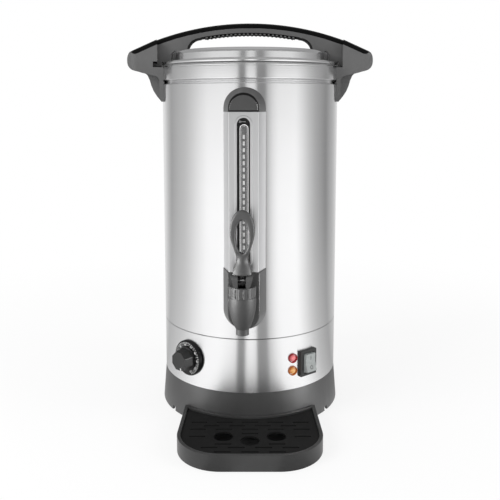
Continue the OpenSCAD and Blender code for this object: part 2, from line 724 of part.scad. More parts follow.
module tap_washers() color("#b9453a") round_tank(panel_turn) {
    difference() {
        intersection() {
            translate([0, -in_r + 3.1, shank_z]) rotate([90, 0, 0]) cylinder(r = 13, h = 6);
            core(in_r - touch, shank_z - 20, shank_z + 20);
        }
        translate([0, -90, shank_z]) rotate([90, 0, 0]) cylinder(r = shank_r + touch, h = 30);
    }
    difference() {
        translate([0, -body_r + 4, shank_z]) rotate([90, 0, 0]) cylinder(r = 13, h = 5.5);
        core(body_r + touch, shank_z - 20, shank_z + 20);
        translate([0, -90, shank_z]) rotate([90, 0, 0]) cylinder(r = shank_r + touch, h = 40);
    }
}

// ---- lid ----

module lid_pan() color("#dedfe0") difference() {
    union() {
        rotate_extrude($fn = 180) polygon(concat(
            [[body_r - 2, flange_under + 0.8], [lid_wall_r + 3, flange_under + 0.8]],
            arc(lid_wall_r + 3, flange_under + 3.8, 3, 270, 180, 5),
            arc(lid_wall_r - shoulder_r, lid_top_z - shoulder_r, shoulder_r, 0, 90, 8),
            [[0, lid_top_z], [0, lid_top_z - sheet]],
            arc(lid_wall_r - shoulder_r, lid_top_z - shoulder_r, shoulder_r - sheet, 90, 0, 8),
            [[lid_wall_r - sheet, flange_under + 3.8]],
            arc(lid_wall_r + 3, flange_under + 3.8, 3 + sheet, 180, 270, 5), [[body_r - 2, flange_under]]
        ));
        rotate_extrude($fn = 180) translate([body_r - 2, flange_z - 2]) circle(2);
    }
    for (x = [-screw_x, screw_x], y = [-screw_y, screw_y]) translate([x, y, 430]) cylinder(r = 2.2, h = 30);
    translate([50.5, -30.5, 430]) cylinder(r = 3.1, h = 30);
}

module lid_gasket() color("#8d8f90") rotate_extrude($fn = 180) polygon([
    [101, flange_under - 0.1], [105.7, flange_under - 0.1], [105.7, rim_z + 0.7], [107.6, rim_z + 0.7],
    [107.6, rim_z + 0.1], [105.8, rim_z + 0.1], [105.2, rim_z - 4], [103.6, rim_z - 4],
    [103.6, flange_under - 1.6], [101, flange_under - 1.6]
]);

// The arched handle with one foot on each side of the lid, and a locking lug at each end.
module lid_handle() color("#454647") difference() {
    union() {
        difference() {
            intersection() {
                front_outline(-lid_handle_d / 2, lid_handle_d / 2) arch_outline();
                arch_skin();
                core(seam_r - 0.5, lug_low, crown_z + 1);
            }
            rotate_extrude($fn = 180) polygon(concat(
                [[0, lug_low - 1], [body_r + 1.2, lug_low - 1], [body_r + 1.2, flange_z + 0.7],
                    [lid_wall_r + lid_gap, flange_z + 0.7]],
                arc(lid_wall_r - shoulder_r, lid_top_z - shoulder_r, shoulder_r + lid_gap, 0, 65, 8),
                [[lid_wall_r - shoulder_r, lid_top_z + touch], [0, lid_top_z + touch]]
            ));
        }
        for (s = [0, 180]) rotate([0, 0, s]) intersection() {
            difference() {
                core(lug_r, lug_low, lug_high);
                core(seam_r - 2, lug_low - 1, lug_high + 1);
            }
            translate([90, 0, 0]) cube([40, lug_len, 500]);
        }
    }
    for (x = [-screw_x, screw_x], y = [-screw_y, screw_y])
        translate([x, y, lid_top_z - 1]) cylinder(r = 1.95, h = 11);
}

// The handle from the front: an arch over an opening with round corners.
module arch_outline() difference() {
    intersection() {
        translate([0, arch_z]) circle(arch_r, $fn = 360);
        translate([-120, lug_low]) square([240, 60]);
    }
    intersection() {
        translate([0, arch_z]) circle(arch_r - arch_t, $fn = 360);
        translate([arch_corner - arch_open, lug_low - 1]) square([2 * (arch_open - arch_corner), 60]);
    }
    corner_z = arch_z + sqrt(pow(arch_r - arch_t, 2) - pow(arch_open - arch_corner, 2)) - arch_corner - 0.6;
    for (s = [-1, 1]) translate([s * (arch_open - arch_corner), corner_z]) circle(arch_corner);
    translate([-arch_open, lug_low - 1]) square([2 * arch_open, corner_z - lug_low + 1]);
}

// Everything under the bevelled top skin of the arch, turned about the arch's own axis.
module arch_skin() translate([0, 0, arch_z]) rotate([90, 0, 0]) rotate_extrude($fn = 360) polygon([
    [100, -lid_handle_d / 2], [arch_r - bevel, -lid_handle_d / 2], [arch_r - 2, 2 - lid_handle_d / 2],
    [arch_r, 6 - lid_handle_d / 2], [arch_r, lid_handle_d / 2 - 6], [arch_r - 2, lid_handle_d / 2 - 2],
    [arch_r - bevel, lid_handle_d / 2], [100, lid_handle_d / 2]
]);

// A ribbed strip for the fingers, let in under the crown.
module handle_grip() color("#1d1d1e") translate([0, 0, arch_z]) {
    under_r = arch_r - arch_t;
    intersection() {
        rotate([90, 0, 0]) rotate_extrude($fn = 360)
            translate([under_r - 1.4, -11]) square([1.4 - touch, 22]);
        translate([-57, -20, under_r - 20]) cube([114, 40, 30]);
    }
    for (i = [-10.5:1:10.5])
        rotate([0, i * 0.9, 0]) translate([-1.1, -12, under_r - 1.9]) cube([2.2, 24, 1.3]);
}

module lid_screws() color("gainsboro") for (x = [-screw_x, screw_x], y = [-screw_y, screw_y]) {
    translate([x, y, lid_top_z - sheet - 2.6]) cylinder(r = 4, h = 2.5);
    translate([x, y, lid_top_z - sheet - 1]) cylinder(r = 1.9, h = 11);
}

module vent_cap() color("#1d1d1e") translate([50.5, -30.5, 0]) difference() {
    union() {
        translate([0, 0, lid_top_z + touch]) cylinder(r = 9.5, h = 1.8);
        translate([0, 0, lid_top_z + 1.8]) cylinder(r1 = 9.5, r2 = 8.3, h = 1.2);
        translate([0, 0, lid_top_z - 4]) cylinder(r = 3, h = 5);
    }
    translate([0, 0, lid_top_z - 5]) cylinder(r = 1.2, h = 12);
}

// ---- drip tray ----

// The tray's plan, moved inwards by g: straight sides, big front corners and a hollow back round the base.
module tray_plan(g) difference() {
    r = tray_corner - g;
    half = tray_half - g;
    front = tray_front - g;
    union() {
        polygon([[-half, -(tray_front - tray_corner)], [half, -(tray_front - tray_corner)],
            [half - 3, -70], [3 - half, -70]]);
        for (s = [-1, 1]) translate([s * (tray_half - tray_corner), -(tray_front - tray_corner)])
            circle(r, $fn = 120);
        translate([-(tray_half - tray_corner), -front]) square([2 * (tray_half - tray_corner), tray_corner]);
    }
    circle(rear_r + g, $fn = 180);
}

module drip_tray() color("#454647") {
    difference() {
        linear_extrude(tray_h) tray_plan(0);
        translate([0, 0, grille_z]) linear_extrude(20) tray_plan(rim_w);
        translate([0, 0, 2.5]) linear_extrude(20) tray_plan(rim_w + 3);
    }
    for (s = [-1, 1]) translate([s * 30 - 6, -body_r - 5, 8]) cube([12, 8, 5]);
}

module drip_grille() color("#333435") difference() {
    translate([0, 0, grille_z + touch]) linear_extrude(grille_t) tray_plan(rim_w + slip);
    for (row = rows, column = row[1])
        translate([column * slot_pitch - 9, -first_row - row[0] * row_pitch - 1.2, 0]) cube([18, 2.4, 40]);
    for (hole = cup_holes) translate([hole[0], -hole[1], 0]) cylinder(r = cup_hole_r, h = 40);
}

base_ring();
base_plate();
feet();
base_screws();
tie_studs();
tie_nuts();
control_band();
tank();
heater_disc();
heater_element();
dry_cutout();
thermostat();
thermostat_shaft();
thermostat_bulb();
dial_plate();
knob();
terminal_block();
wiring();
cord_gland();
lamp_red();
lamp_amber();
lamp_holders();
switch_frame();
rocker();
left_handle();
right_handle();
handle_screws();
gauge_cover();
gauge_cap();
gauge_tube();
gauge_backing();
gauge_seals();
gauge_screw();
tap_housing();
tap_body();
tap_bonnet();
tap_lever();
lever_pin();
link_pin();
valve_stem();
seat_cup();
valve_spring();
tap_nut();
tap_washers();
lid_pan();
lid_gasket();
lid_handle();
handle_grip();
lid_screws();
vent_cap();
drip_tray();
drip_grille();
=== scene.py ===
"""Finishes, soft edges and marks of a stainless hot water urn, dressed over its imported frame."""

import json
import logging
from dataclasses import dataclass
from math import cos, hypot, pi, radians, sin, tau
from typing import Callable, Iterable, Sequence

import bmesh
import bpy
from mathutils import Matrix, Vector

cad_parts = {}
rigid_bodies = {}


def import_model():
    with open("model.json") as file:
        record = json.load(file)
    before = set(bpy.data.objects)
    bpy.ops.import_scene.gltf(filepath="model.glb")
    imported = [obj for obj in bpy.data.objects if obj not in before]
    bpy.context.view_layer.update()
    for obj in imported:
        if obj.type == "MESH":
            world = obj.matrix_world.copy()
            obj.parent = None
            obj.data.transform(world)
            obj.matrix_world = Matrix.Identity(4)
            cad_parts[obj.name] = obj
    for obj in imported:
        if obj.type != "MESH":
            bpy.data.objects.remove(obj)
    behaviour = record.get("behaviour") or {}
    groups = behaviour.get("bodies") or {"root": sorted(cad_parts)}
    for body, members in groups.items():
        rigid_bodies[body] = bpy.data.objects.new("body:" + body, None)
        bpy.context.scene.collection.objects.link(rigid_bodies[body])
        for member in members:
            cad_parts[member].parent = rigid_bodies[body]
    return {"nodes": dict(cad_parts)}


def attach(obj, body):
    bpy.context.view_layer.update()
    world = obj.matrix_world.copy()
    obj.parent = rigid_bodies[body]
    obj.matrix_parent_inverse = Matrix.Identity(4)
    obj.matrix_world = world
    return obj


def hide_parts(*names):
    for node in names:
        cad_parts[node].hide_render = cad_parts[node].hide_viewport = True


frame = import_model()

log = logging.getLogger("urn")
MM = 0.001
# angle of the sight gauge and the tap from the front, in degrees
GAUGE_TURN = -3.2
# thickness of a print, in millimetres
PRINT = 0.06

Point = tuple[float, float]
Colour = tuple[float, float, float]
EdgeTest = Callable[[Vector, Vector], bool]
FaceTest = Callable[[Vector, list[Vector]], bool]
Distance = Callable[[float, float], float]


def grey(level: float) -> Colour:
    """A neutral colour of the given level."""
    return (level, level, level)


def scaled(colour: Colour, share: float) -> Colour:
    """The colour times a share."""
    return tuple(share * c for c in colour)


def arc(x: float, y: float, r: float, start: float, end: float, steps: int = 8) -> list[Point]:
    """Points of an arc about (x, y) from one angle to another, in degrees."""
    turns = [radians(start + (end - start) * i / steps) for i in range(steps + 1)]
    return [(x + r * cos(t), y + r * sin(t)) for t in turns]


def bar(half: float, low: float, high: float) -> list[Point]:
    """Outline of an upright bar about x = 0."""
    return [(-half, low), (half, low), (half, high), (-half, high)]


def shift(x: float, y: float, z: float) -> Matrix:
    """A move by millimetres."""
    return Matrix.Translation((x * MM, y * MM, z * MM))


def spin(degrees: float, axis: str = "Z") -> Matrix:
    """A turn about an axis."""
    return Matrix.Rotation(radians(degrees), 4, axis)


def outward(turn: float, radius: float, height: float) -> Matrix:
    """A frame turned to the right of the front by degrees, whose Z points outwards and whose Y points up."""
    return spin(turn) @ shift(0, -radius, height) @ spin(90, "X")


# ---- shader maths


def operator(operation: str, swapped: bool = False) -> "Callable[[Signal, Signal | float], Signal]":
    """A method of Signal that works through one Math node.

    Args:
        operation: The node's operation.
        swapped: Whether the other value comes first.

    Returns:
        The method.
    """

    def apply(self: "Signal", other: "Signal | float") -> "Signal":
        """Adds the node for the signal and the other value."""
        pair = (other, self) if swapped else (self, other)
        return self.shader.node("ShaderNodeMath", {"operation": operation}, dict(enumerate(pair)))

    return apply


@dataclass(frozen=True)
class Signal:
    """A shader socket that takes part in arithmetic through Math nodes."""

    shader: "Shader"
    socket: bpy.types.NodeSocket

    __add__ = __radd__ = operator("ADD")
    __sub__ = operator("SUBTRACT")
    __rsub__ = operator("SUBTRACT", swapped=True)
    __mul__ = __rmul__ = operator("MULTIPLY")
    __truediv__ = operator("DIVIDE")
    # the greater of the two
    over = operator("MAXIMUM")
    # angle of the point (other, self), in radians
    angle = operator("ARCTAN2")

    def step(self, low: float, high: float, first: float = 0.0, last: float = 1.0) -> "Signal":
        """A smooth rise of the signal from first at low to last at high."""
        settings = {"interpolation_type": "SMOOTHSTEP"}
        return self.shader.node("ShaderNodeMapRange", settings, {0: self, 1: low, 2: high, 3: first, 4: last})


class Shader:
    """A node tree that is filled from values and signals."""

    def __init__(self, owner: bpy.types.Material | bpy.types.World) -> None:
        """Gives the owner an empty tree."""
        owner.use_nodes = True
        self.tree = owner.node_tree
        self.tree.nodes.clear()

    def node(self, kind: str, settings: dict, inputs: dict, output: int | str = 0) -> Signal:
        """Adds a node.

        Args:
            kind: Type of the node.
            settings: Its properties, set before its sockets. A ramp's stops are given as "stops".
            inputs: Values or signals of its input sockets, by name or number.
            output: Output socket to hand back.

        Returns:
            The chosen output as a signal.
        """
        made = self.tree.nodes.new(kind)
        for name, value in settings.items():
            if name == "stops":
                self._stops(made.color_ramp, value)
            else:
                setattr(made, name, value)
        for name, value in inputs.items():
            if isinstance(value, Signal):
                self.tree.links.new(value.socket, made.inputs[name])
            else:
                made.inputs[name].default_value = value
        return Signal(self, made.outputs[output] if len(made.outputs) else None)

    @staticmethod
    def _stops(ramp: bpy.types.ColorRamp, stops: Sequence[Point]) -> None:
        """Fills a ramp with grey stops.

        Args:
            ramp: The ramp.
            stops: Place and level of each stop.
        """
        ramp.interpolation = "LINEAR"
        while len(ramp.elements) < len(stops):
            ramp.elements.new(1.0)
        for element, (place, level) in zip(ramp.elements, stops):
            element.position = place
            element.color = (*grey(level), 1.0)

    def place(self, scale: Sequence[float]) -> Signal:
        """Object coordinates, stretched by the given scale."""
        spot = self.node("ShaderNodeTexCoord", {}, {}, "Object")
        return self.node("ShaderNodeMapping", {}, {"Vector": spot, "Scale": scale})

    def noise(self, scale: float, detail: int, roughness: float, stretch: Sequence[float] = (1, 1, 1)) -> Signal:
        """Noise of the given scale over the object, from 0 to 1."""
        inputs = {"Vector": self.place(stretch), "Scale": scale, "Detail": detail, "Roughness": roughness}
        return self.node("ShaderNodeTexNoise", {}, inputs, "Fac")

    def blend(self, share: "Signal | float", first: "Colour | Signal", second: "Colour | Signal") -> Signal:
        """Mix of two colours by the share of the second."""
        pair = [c if isinstance(c, Signal) else (*c, 1.0) for c in (first, second)]
        return self.node("ShaderNodeMix", {"data_type": "RGBA"}, {0: share, 6: pair[0], 7: pair[1]}, 2)

    def bump(self, height: Signal, depth: float) -> Signal:
        """Normal of a surface raised by height times depth, in metres."""
        return self.node("ShaderNodeBump", {}, {"Height": height, "Distance": depth, "Strength": 1.0})

    def surface(self, inputs: dict) -> None:
        """Adds the principled shader and the output."""
        body = self.node("ShaderNodeBsdfPrincipled", {}, inputs)
        self.node("ShaderNodeOutputMaterial", {}, {"Surface": body})


# ---- finishes


@dataclass(frozen=True)
class Finish:
    """What every finish shares: a name and a way to lay it on objects."""

    name: str

    def paint(self, shader: Shader) -> None:
        """Fills the shader's tree; each finish does it in its own way."""
        raise NotImplementedError

    def material(self) -> bpy.types.Material:
        """The finish's material, made once under a name that no slot of the frame has."""
        own = "urn_" + self.name
        found = bpy.data.materials.get(own)
        if found is None:
            found = bpy.data.materials.new(own)
            self.paint(Shader(found))
        return found

    def lay_on(self, *pieces: bpy.types.Object) -> None:
        """Gives objects this finish in all their slots.

        Args:
            pieces: The objects.
        """
        for piece in pieces:
            if not piece.material_slots:
                piece.data.materials.append(self.material())
            for held in piece.material_slots:
                held.material = self.material()


@dataclass(frozen=True)
class MouldedPlastic(Finish):
    """Injection-moulded plastic with a fine spark-eroded grain."""

    colour: Colour = grey(0.06)
    roughness: float = 0.42
    grain: float = 1500.0
    depth: float = 0.00003
    specular: float = 0.5
    sheen: float = 0.0

    def paint(self, shader: Shader) -> None:
        """Grain in the bump, flow marks in the colour, and rubbed patches in the gloss."""
        flow = shader.noise(14, 4, 0.55)
        fine = shader.noise(self.grain, 3, 0.6)
        rub = shader.noise(60, 5, 0.65)
        shader.surface({
            "Base Color": shader.blend(flow.step(0.3, 0.7), scaled(self.colour, 0.9), scaled(self.colour, 1.12)),
            "Roughness": self.roughness + 0.1 * (rub - 0.5) + 0.06 * (fine - 0.5),
            "Normal": shader.bump(fine, self.depth),
            "Specular IOR Level": self.specular,
            "Sheen Weight": self.sheen,
            "Sheen Roughness": 0.35,
            "IOR": 1.48,
        })


@dataclass(frozen=True)
class SatinSteel(Finish):
    """Stainless sheet with fine polishing lines that run round the body."""

    colour: Colour = (0.88, 0.88, 0.885)
    roughness: float = 0.22
    lines: tuple[float, float, float] = (5, 5, 3200)
    depth: float = 0.0000003
    streak: float = 0.95
    across: float = 0.25

    def paint(self, shader: Shader) -> None:
        """Polishing lines in the gloss and bump, and faint handling marks."""
        brushed = shader.noise(1.0, 4, 0.6, self.lines)
        cloud = shader.noise(18, 3, 0.5)
        marks = shader.noise(140, 6, 0.7).step(0.6, 0.78)
        shader.surface({
            "Base Color": shader.blend(brushed.step(0.35, 0.65), scaled(self.colour, 0.97), self.colour),
            "Metallic": 1.0,
            "Roughness": self.roughness + 0.04 * (brushed - 0.5) + 0.03 * (cloud - 0.5) + 0.04 * marks,
            "Anisotropic": self.streak,
            "Anisotropic Rotation": self.across,
            "Normal": shader.bump(brushed, self.depth),
        })


@dataclass(frozen=True)
class PlatedMetal(Finish):
    """Plated, cast or bare metal with a fine spangle."""

    colour: Colour = grey(0.6)
    roughness: float = 0.35
    spangle: float = 500.0

    def paint(self, shader: Shader) -> None:
        """Cells of slightly different gloss, and dulled patches."""
        inputs = {"Vector": shader.place((1, 1, 1)), "Scale": self.spangle}
        cells = shader.node("ShaderNodeTexVoronoi", {}, inputs, "Distance")
        dull = shader.noise(90, 4, 0.6)
        shader.surface({
            "Base Color": shader.blend(dull.step(0.35, 0.75), self.colour, scaled(self.colour, 0.72)),
            "Metallic": 1.0,
            "Roughness": self.roughness + 0.1 * (cells - 0.4) + 0.12 * (dull - 0.5),
            "Normal": shader.bump(cells, 0.00001),
        })


@dataclass(frozen=True)
class Elastomer(Finish):
    """Rubber or silicone with a dusty, matt surface."""

    colour: Colour = grey(0.02)
    roughness: float = 0.7

    def paint(self, shader: Shader) -> None:
        """Bloom in the colour and a soft grain."""
        bloom = shader.noise(120, 5, 0.6)
        fine = shader.noise(2600, 2, 0.5)
        pale = tuple(0.8 * c + 0.02 for c in self.colour)
        shader.surface({
            "Base Color": shader.blend(bloom.step(0.4, 0.8), self.colour, pale),
            "Roughness": self.roughness + 0.12 * (bloom - 0.5),
            "Normal": shader.bump(fine, 0.00003),
        })


@dataclass(frozen=True)
class TintedLens(Finish):
    """Clear tinted plastic over a lamp or in a switch."""

    colour: Colour = (0.6, 0.05, 0.05)
    # colour and strength of the painted glow
    glow: Colour = (0.6, 0.1, 0.1)
    strength: float = 0.2
    transmission: float = 0.3

    def paint(self, shader: Shader) -> None:
        """A tint that clouds slightly, and a painted glow for the light that scatters in it."""
        cloud = shader.noise(420, 3, 0.5)
        fine = shader.noise(1800, 2, 0.5)
        shader.surface({
            "Base Color": shader.blend(cloud.step(0.3, 0.7), scaled(self.colour, 0.78), self.colour),
            "Roughness": 0.12 + 0.08 * fine,
            # painted glow: emission that stands in for light scattered in the tinted plastic
            "Emission Color": (*self.glow, 1),
            "Emission Strength": self.strength,
            "Transmission Weight": self.transmission,
            "Coat Weight": 0.6,
            "Coat Roughness": 0.04,
            "Normal": shader.bump(fine, 0.00001),
        })


@dataclass(frozen=True)
class ClearGlass(Finish):
    """Drawn glass tube."""

    # painted light: body is a faint glow over the tube, edge the painted highlight at its sides, and tint its colour in
    # the middle, painted paler at the sides
    body: float = 0.03
    edge: float = 0.8
    tint: float = 0.68

    def paint(self, shader: Shader) -> None:
        """Glass with the faint ripple of a drawn tube, a faint painted glow over it, and a bright painted highlight
        with paler colour at its sides.
        """
        ripple = shader.noise(1.0, 2, 0.5, (300, 300, 25))
        turned = shader.node("ShaderNodeLayerWeight", {}, {"Blend": 0.5}, "Facing")
        shader.surface({
            "Base Color": shader.blend(turned.step(0.4, 0.7), grey(self.tint), grey(0.96)),
            "Roughness": 0.03 * ripple,
            "Transmission Weight": 1.0,
            "IOR": 1.47,
            "Emission Color": shader.blend(turned.step(0.5, 0.75), grey(self.body), grey(self.edge)),
            "Emission Strength": 1.0,
            "Normal": shader.bump(ripple, 0.000004),
        })


@dataclass(frozen=True)
class PrintedMark(Finish):
    """Pad-printed ink."""

    colour: Colour = grey(0.85)

    def paint(self, shader: Shader) -> None:
        """Ink that is thinner in places."""
        thin = shader.noise(1400, 4, 0.6)
        shader.surface({
            "Base Color": shader.blend(thin.step(0.45, 0.8), self.colour, scaled(self.colour, 0.86)),
            "Roughness": 0.45 + 0.1 * thin,
        })


HOUSING = MouldedPlastic("housing_plastic", grey(0.052), 0.36, sheen=0.05)
HANDLE = MouldedPlastic("handle_plastic", grey(0.118), 0.4, sheen=0.05)
# near black: painted shade on the bevelled tops of the handles
PAINTED_SHADE_TOP = MouldedPlastic("crown_plastic", grey(0.005), 0.55, specular=0.06)
# near black with little gloss: the finger strip's own dark plastic, and painted shade under the arch
DARK_GRIP_AND_SHADE = MouldedPlastic("strip_plastic", grey(0.006), 0.7, specular=0.1)
# pale grey: painted highlights on the front ends of the finger strip's ribs
PAINTED_RIB_HIGHLIGHT = MouldedPlastic("rib_plastic", grey(0.35), 0.5)
TRAY = MouldedPlastic("tray_plastic", grey(0.043), 0.42, specular=0.4)
GRILLE = MouldedPlastic("grille_plastic", grey(0.015), 0.6, specular=0.05)
TAP = MouldedPlastic("tap_plastic", grey(0.027), 0.6, 1700, 0.000008, sheen=0.03)
KNOB = MouldedPlastic("knob_plastic", grey(0.012), 0.36, specular=0.35)
DIAL = MouldedPlastic("dial_plastic", grey(0.01), 0.25, 2400, 0.000008, specular=0.3)
BLACK = MouldedPlastic("black_plastic", grey(0.045), 0.38, 2000, 0.00002, specular=0.35)
# near black: painted shadow round the raised disc on the gauge cap
SHADOW = MouldedPlastic("groove_plastic", grey(0.008), 0.6, specular=0.15)
SHELL = SatinSteel("shell_steel")
LID = SatinSteel("lid_steel", roughness=0.2, streak=0.6)
COVER = SatinSteel("cover_steel", (0.79, 0.79, 0.795), 0.32, (1500, 1500, 8), streak=0.0)
RED_RIM = TintedLens("red_rim", (0.36, 0.006, 0.012), (0.4, 0.01, 0.02), 0.06, 0.1)
RED_LENS = TintedLens("red_lens", (0.95, 0.24, 0.26), (1.0, 0.35, 0.35), 0.18, 0.1)
AMBER_RIM = TintedLens("amber_rim", (0.5, 0.13, 0.01), (0.6, 0.2, 0.02), 0.06, 0.1)
AMBER_LENS = TintedLens("amber_lens", (0.98, 0.56, 0.22), (1.0, 0.4, 0.06), 0.16, 0.1)
CLOUDY = TintedLens("cloudy_rocker", (0.5, 0.53, 0.525), (0.7, 0.74, 0.73), 0.03, 0.25)
GLASS = ClearGlass("gauge_glass")
INK = PrintedMark("white_ink")
MARK = PrintedMark("grey_ink", grey(0.16))

# finishes of the nodes that show as they came
NODE_FINISHES: dict[Finish, tuple[str, ...]] = {
    BLACK: ("gauge_backing", "lamp_holders", "cord_gland"),
    MouldedPlastic("phenolic_plastic", (0.05, 0.04, 0.035), 0.5): ("thermostat", "dry_cutout"),
    MouldedPlastic("terminal_plastic", (0.78, 0.75, 0.64), 0.35): ("terminal_block",),
    MouldedPlastic("sleeve_plastic", (0.22, 0.12, 0.07), 0.4): ("wiring",),
    PlatedMetal("zinc_plated_steel"): (
        "base_plate", "base_screws", "tie_studs", "tie_nuts", "handle_screws", "gauge_screw", "lid_screws",
        "lever_pin", "tap_nut", "thermostat_shaft",
    ),
    PlatedMetal("dull_steel", grey(0.1), 0.45): ("valve_stem", "link_pin"),
    PlatedMetal("spring_wire", grey(0.45), 0.3): ("valve_spring",),
    PlatedMetal("cast_aluminium", grey(0.68), 0.5, 260): ("heater_disc",),
    PlatedMetal("element_sheath", grey(0.25), 0.45): ("heater_element",),
    PlatedMetal("bare_copper", (0.7, 0.33, 0.2), 0.3): ("thermostat_bulb",),
    Elastomer("black_rubber"): ("feet",),
    Elastomer("red_silicone", (0.4, 0.08, 0.05), 0.5): ("gauge_seals", "seat_cup", "tap_washers"),
    Elastomer("grey_silicone", grey(0.28), 0.55): ("lid_gasket",),
}


# ---- modelling


class Piece:
    """An object and the modelling moves that the sub-assemblies share, made with Blender's operators."""

    def __init__(self, shape: bpy.types.Object) -> None:
        """Takes hold of the object."""
        self.object = shape

    @staticmethod
    def clear() -> None:
        """Leaves edit mode and deselects everything."""
        if bpy.context.object and bpy.context.object.mode != "OBJECT":
            bpy.ops.object.mode_set(mode="OBJECT")
        bpy.ops.object.select_all(action="DESELECT")

    def pick(self) -> None:
        """Makes the piece the only one selected, and active."""
        self.clear()
        self.object.select_set(True)
        bpy.context.view_layer.objects.active = self.object

    def edit(self) -> None:
        """Opens the piece in edit mode with all of it selected."""
        self.pick()
        bpy.ops.object.mode_set(mode="EDIT")
        bpy.ops.mesh.select_all(action="SELECT")

    def move(self, place: Matrix) -> "Piece":
        """Sets the piece's place and puts it into the mesh."""
        self.object.matrix_world = place
        return self.settle()

    def settle(self) -> "Piece":
        """Puts the object's place, turn and scale into its mesh."""
        self.pick()
        bpy.ops.object.transform_apply(location=True, rotation=True, scale=True)
        return self

    @classmethod
    def trace(cls, points: Sequence[Vector]) -> None:
        """Shrinks a plane to a vertex, draws it out along the points, and stays in edit mode with all selected.

        Args:
            points: Corners in metres; the last one equals the first on a closed line.
        """
        cls.clear()
        bpy.ops.mesh.primitive_plane_add(size=MM)
        bpy.ops.object.mode_set(mode="EDIT")
        bpy.ops.mesh.select_all(action="SELECT")
        bpy.ops.mesh.merge(type="CENTER")
        bpy.ops.transform.translate(value=points[0])
        for before, after in zip(points, points[1:]):
            bpy.ops.mesh.extrude_vertices_move(TRANSFORM_OT_translate={"value": after - before})
        bpy.ops.mesh.select_all(action="SELECT")
        bpy.ops.mesh.remove_doubles(threshold=0.000001)

    @classmethod
    def close(cls) -> "Piece":
        """Turns the faces of the shape in edit mode outwards and leaves the mode with it as a piece."""
        bpy.ops.mesh.normals_make_consistent(inside=False)
        cls.clear()
        return cls(bpy.context.object)

    @classmethod
    def lathe(cls, profile: Sequence[Point], steps: int = 64) -> "Piece":
        """Turns a closed profile about the Z axis.

        Args:
            profile: Radius and height of each corner, in millimetres.
            steps: Number of steps in the turn.

        Returns:
            The turned piece.
        """
        cls.trace([Vector((r * MM, 0, z * MM)) for r, z in [*profile, profile[0]]])
        bpy.ops.mesh.spin(steps=steps, angle=tau, center=(0, 0, 0), axis=(0, 0, 1))
        bpy.ops.mesh.select_all(action="SELECT")
        bpy.ops.mesh.remove_doubles(threshold=0.000002)
        return cls.close()

    @classmethod
    def prism(cls, outline: Sequence[Point], depth: float = PRINT) -> "Piece":
        """Extrudes a closed outline along Z.

        Args:
            outline: Corners in x and y, in millimetres.
            depth: Height of the prism in millimetres.

        Returns:
            The prism, standing on z = 0.
        """
        cls.trace([Vector((x * MM, y * MM, 0)) for x, y in [*outline, outline[0]]])
        bpy.ops.mesh.edge_face_add()
        bpy.ops.mesh.extrude_region_move(TRANSFORM_OT_translate={"value": (0, 0, depth * MM)})
        bpy.ops.mesh.select_all(action="SELECT")
        return cls.close()

    @classmethod
    def double(cls, source: bpy.types.Object) -> "Piece":
        """A copy of an object with a mesh of its own."""
        made = bpy.data.objects.new(source.name + "_shape", source.data.copy())
        bpy.context.scene.collection.objects.link(made)
        return cls(made)

    @classmethod
    def copy_of(cls, node: str) -> "Piece":
        """Copies a node's mesh and merges its loose triangles into clean faces.

        Args:
            node: Name of the node.

        Returns:
            The copy.
        """
        piece = cls.double(frame["nodes"][node])
        piece.edit()
        bpy.ops.mesh.customdata_custom_splitnormals_clear()
        bpy.ops.mesh.remove_doubles(threshold=0.000002)
        bpy.ops.mesh.dissolve_limited(angle_limit=radians(1.0))
        cls.clear()
        return piece

    @classmethod
    def join(cls, pieces: Sequence["Piece"]) -> "Piece":
        """Joins pieces into the first.

        Args:
            pieces: The pieces.

        Returns:
            The first, which now holds them all.
        """
        cls.clear()
        for piece in pieces:
            piece.object.select_set(True)
        bpy.context.view_layer.objects.active = pieces[0].object
        bpy.ops.object.join()
        return pieces[0]

    def repeat(self, places: Iterable[Matrix]) -> "Piece":
        """Copies the piece to each place and joins the copies; the piece itself goes.

        Args:
            places: Where the copies stand.

        Returns:
            The joined copies.
        """
        copies = []
        for place in places:
            copies.append(self.double(self.object))
            copies[-1].object.matrix_world = place
        bpy.data.objects.remove(self.object)
        return self.join(copies).settle()

    def modify(self, kind: str, **settings: object) -> "Piece":
        """Adds a modifier and applies it.

        Args:
            kind: Type of the modifier.
            settings: Its settings.

        Returns:
            The piece.
        """
        self.pick()
        tool = self.object.modifiers.new(kind.lower(), kind)
        for name, value in settings.items():
            setattr(tool, name, value)
        bpy.ops.object.modifier_apply(modifier=tool.name)
        return self

    def soften(self, width: float, segments: int = 3) -> "Piece":
        """Rounds the piece's edges by a width in millimetres where its faces meet at more than 30 degrees."""
        return self.modify("BEVEL", width=width * MM, segments=segments, limit_method="ANGLE",
                           angle_limit=radians(30), use_clamp_overlap=True, miter_outer="MITER_ARC")

    def round_edges(self, chosen: EdgeTest, width: float, segments: int) -> None:
        """Bevels some of the piece's edges.

        Args:
            chosen: Test of an edge by its two ends, in millimetres.
            width: Width of the bevel in millimetres.
            segments: Number of steps in the bevel.
        """
        self.edit()
        bpy.ops.mesh.select_mode(type="EDGE")
        bpy.ops.mesh.select_all(action="DESELECT")
        mesh = bmesh.from_edit_mesh(self.object.data)
        for edge in mesh.edges:
            if chosen(edge.verts[0].co / MM, edge.verts[1].co / MM):
                edge.select_set(True)
        bmesh.update_edit_mesh(self.object.data)
        bpy.ops.mesh.bevel(offset=width * MM, segments=segments, affect="EDGES", clamp_overlap=True)
        bpy.ops.mesh.select_mode(type="VERT")
        self.clear()

    def smooth(self, angle: float, flats: bool = False) -> "Piece":
        """Shades the piece smooth.

        Args:
            angle: Largest angle between faces that are shaded as one, in degrees.
            flats: Whether its flat faces are kept flat.

        Returns:
            The piece.
        """
        self.pick()
        bpy.ops.object.shade_smooth_by_angle(angle=radians(angle))
        if flats:
            self.modify("WEIGHTED_NORMAL", mode="FACE_AREA", weight=50, keep_sharp=True)
        return self

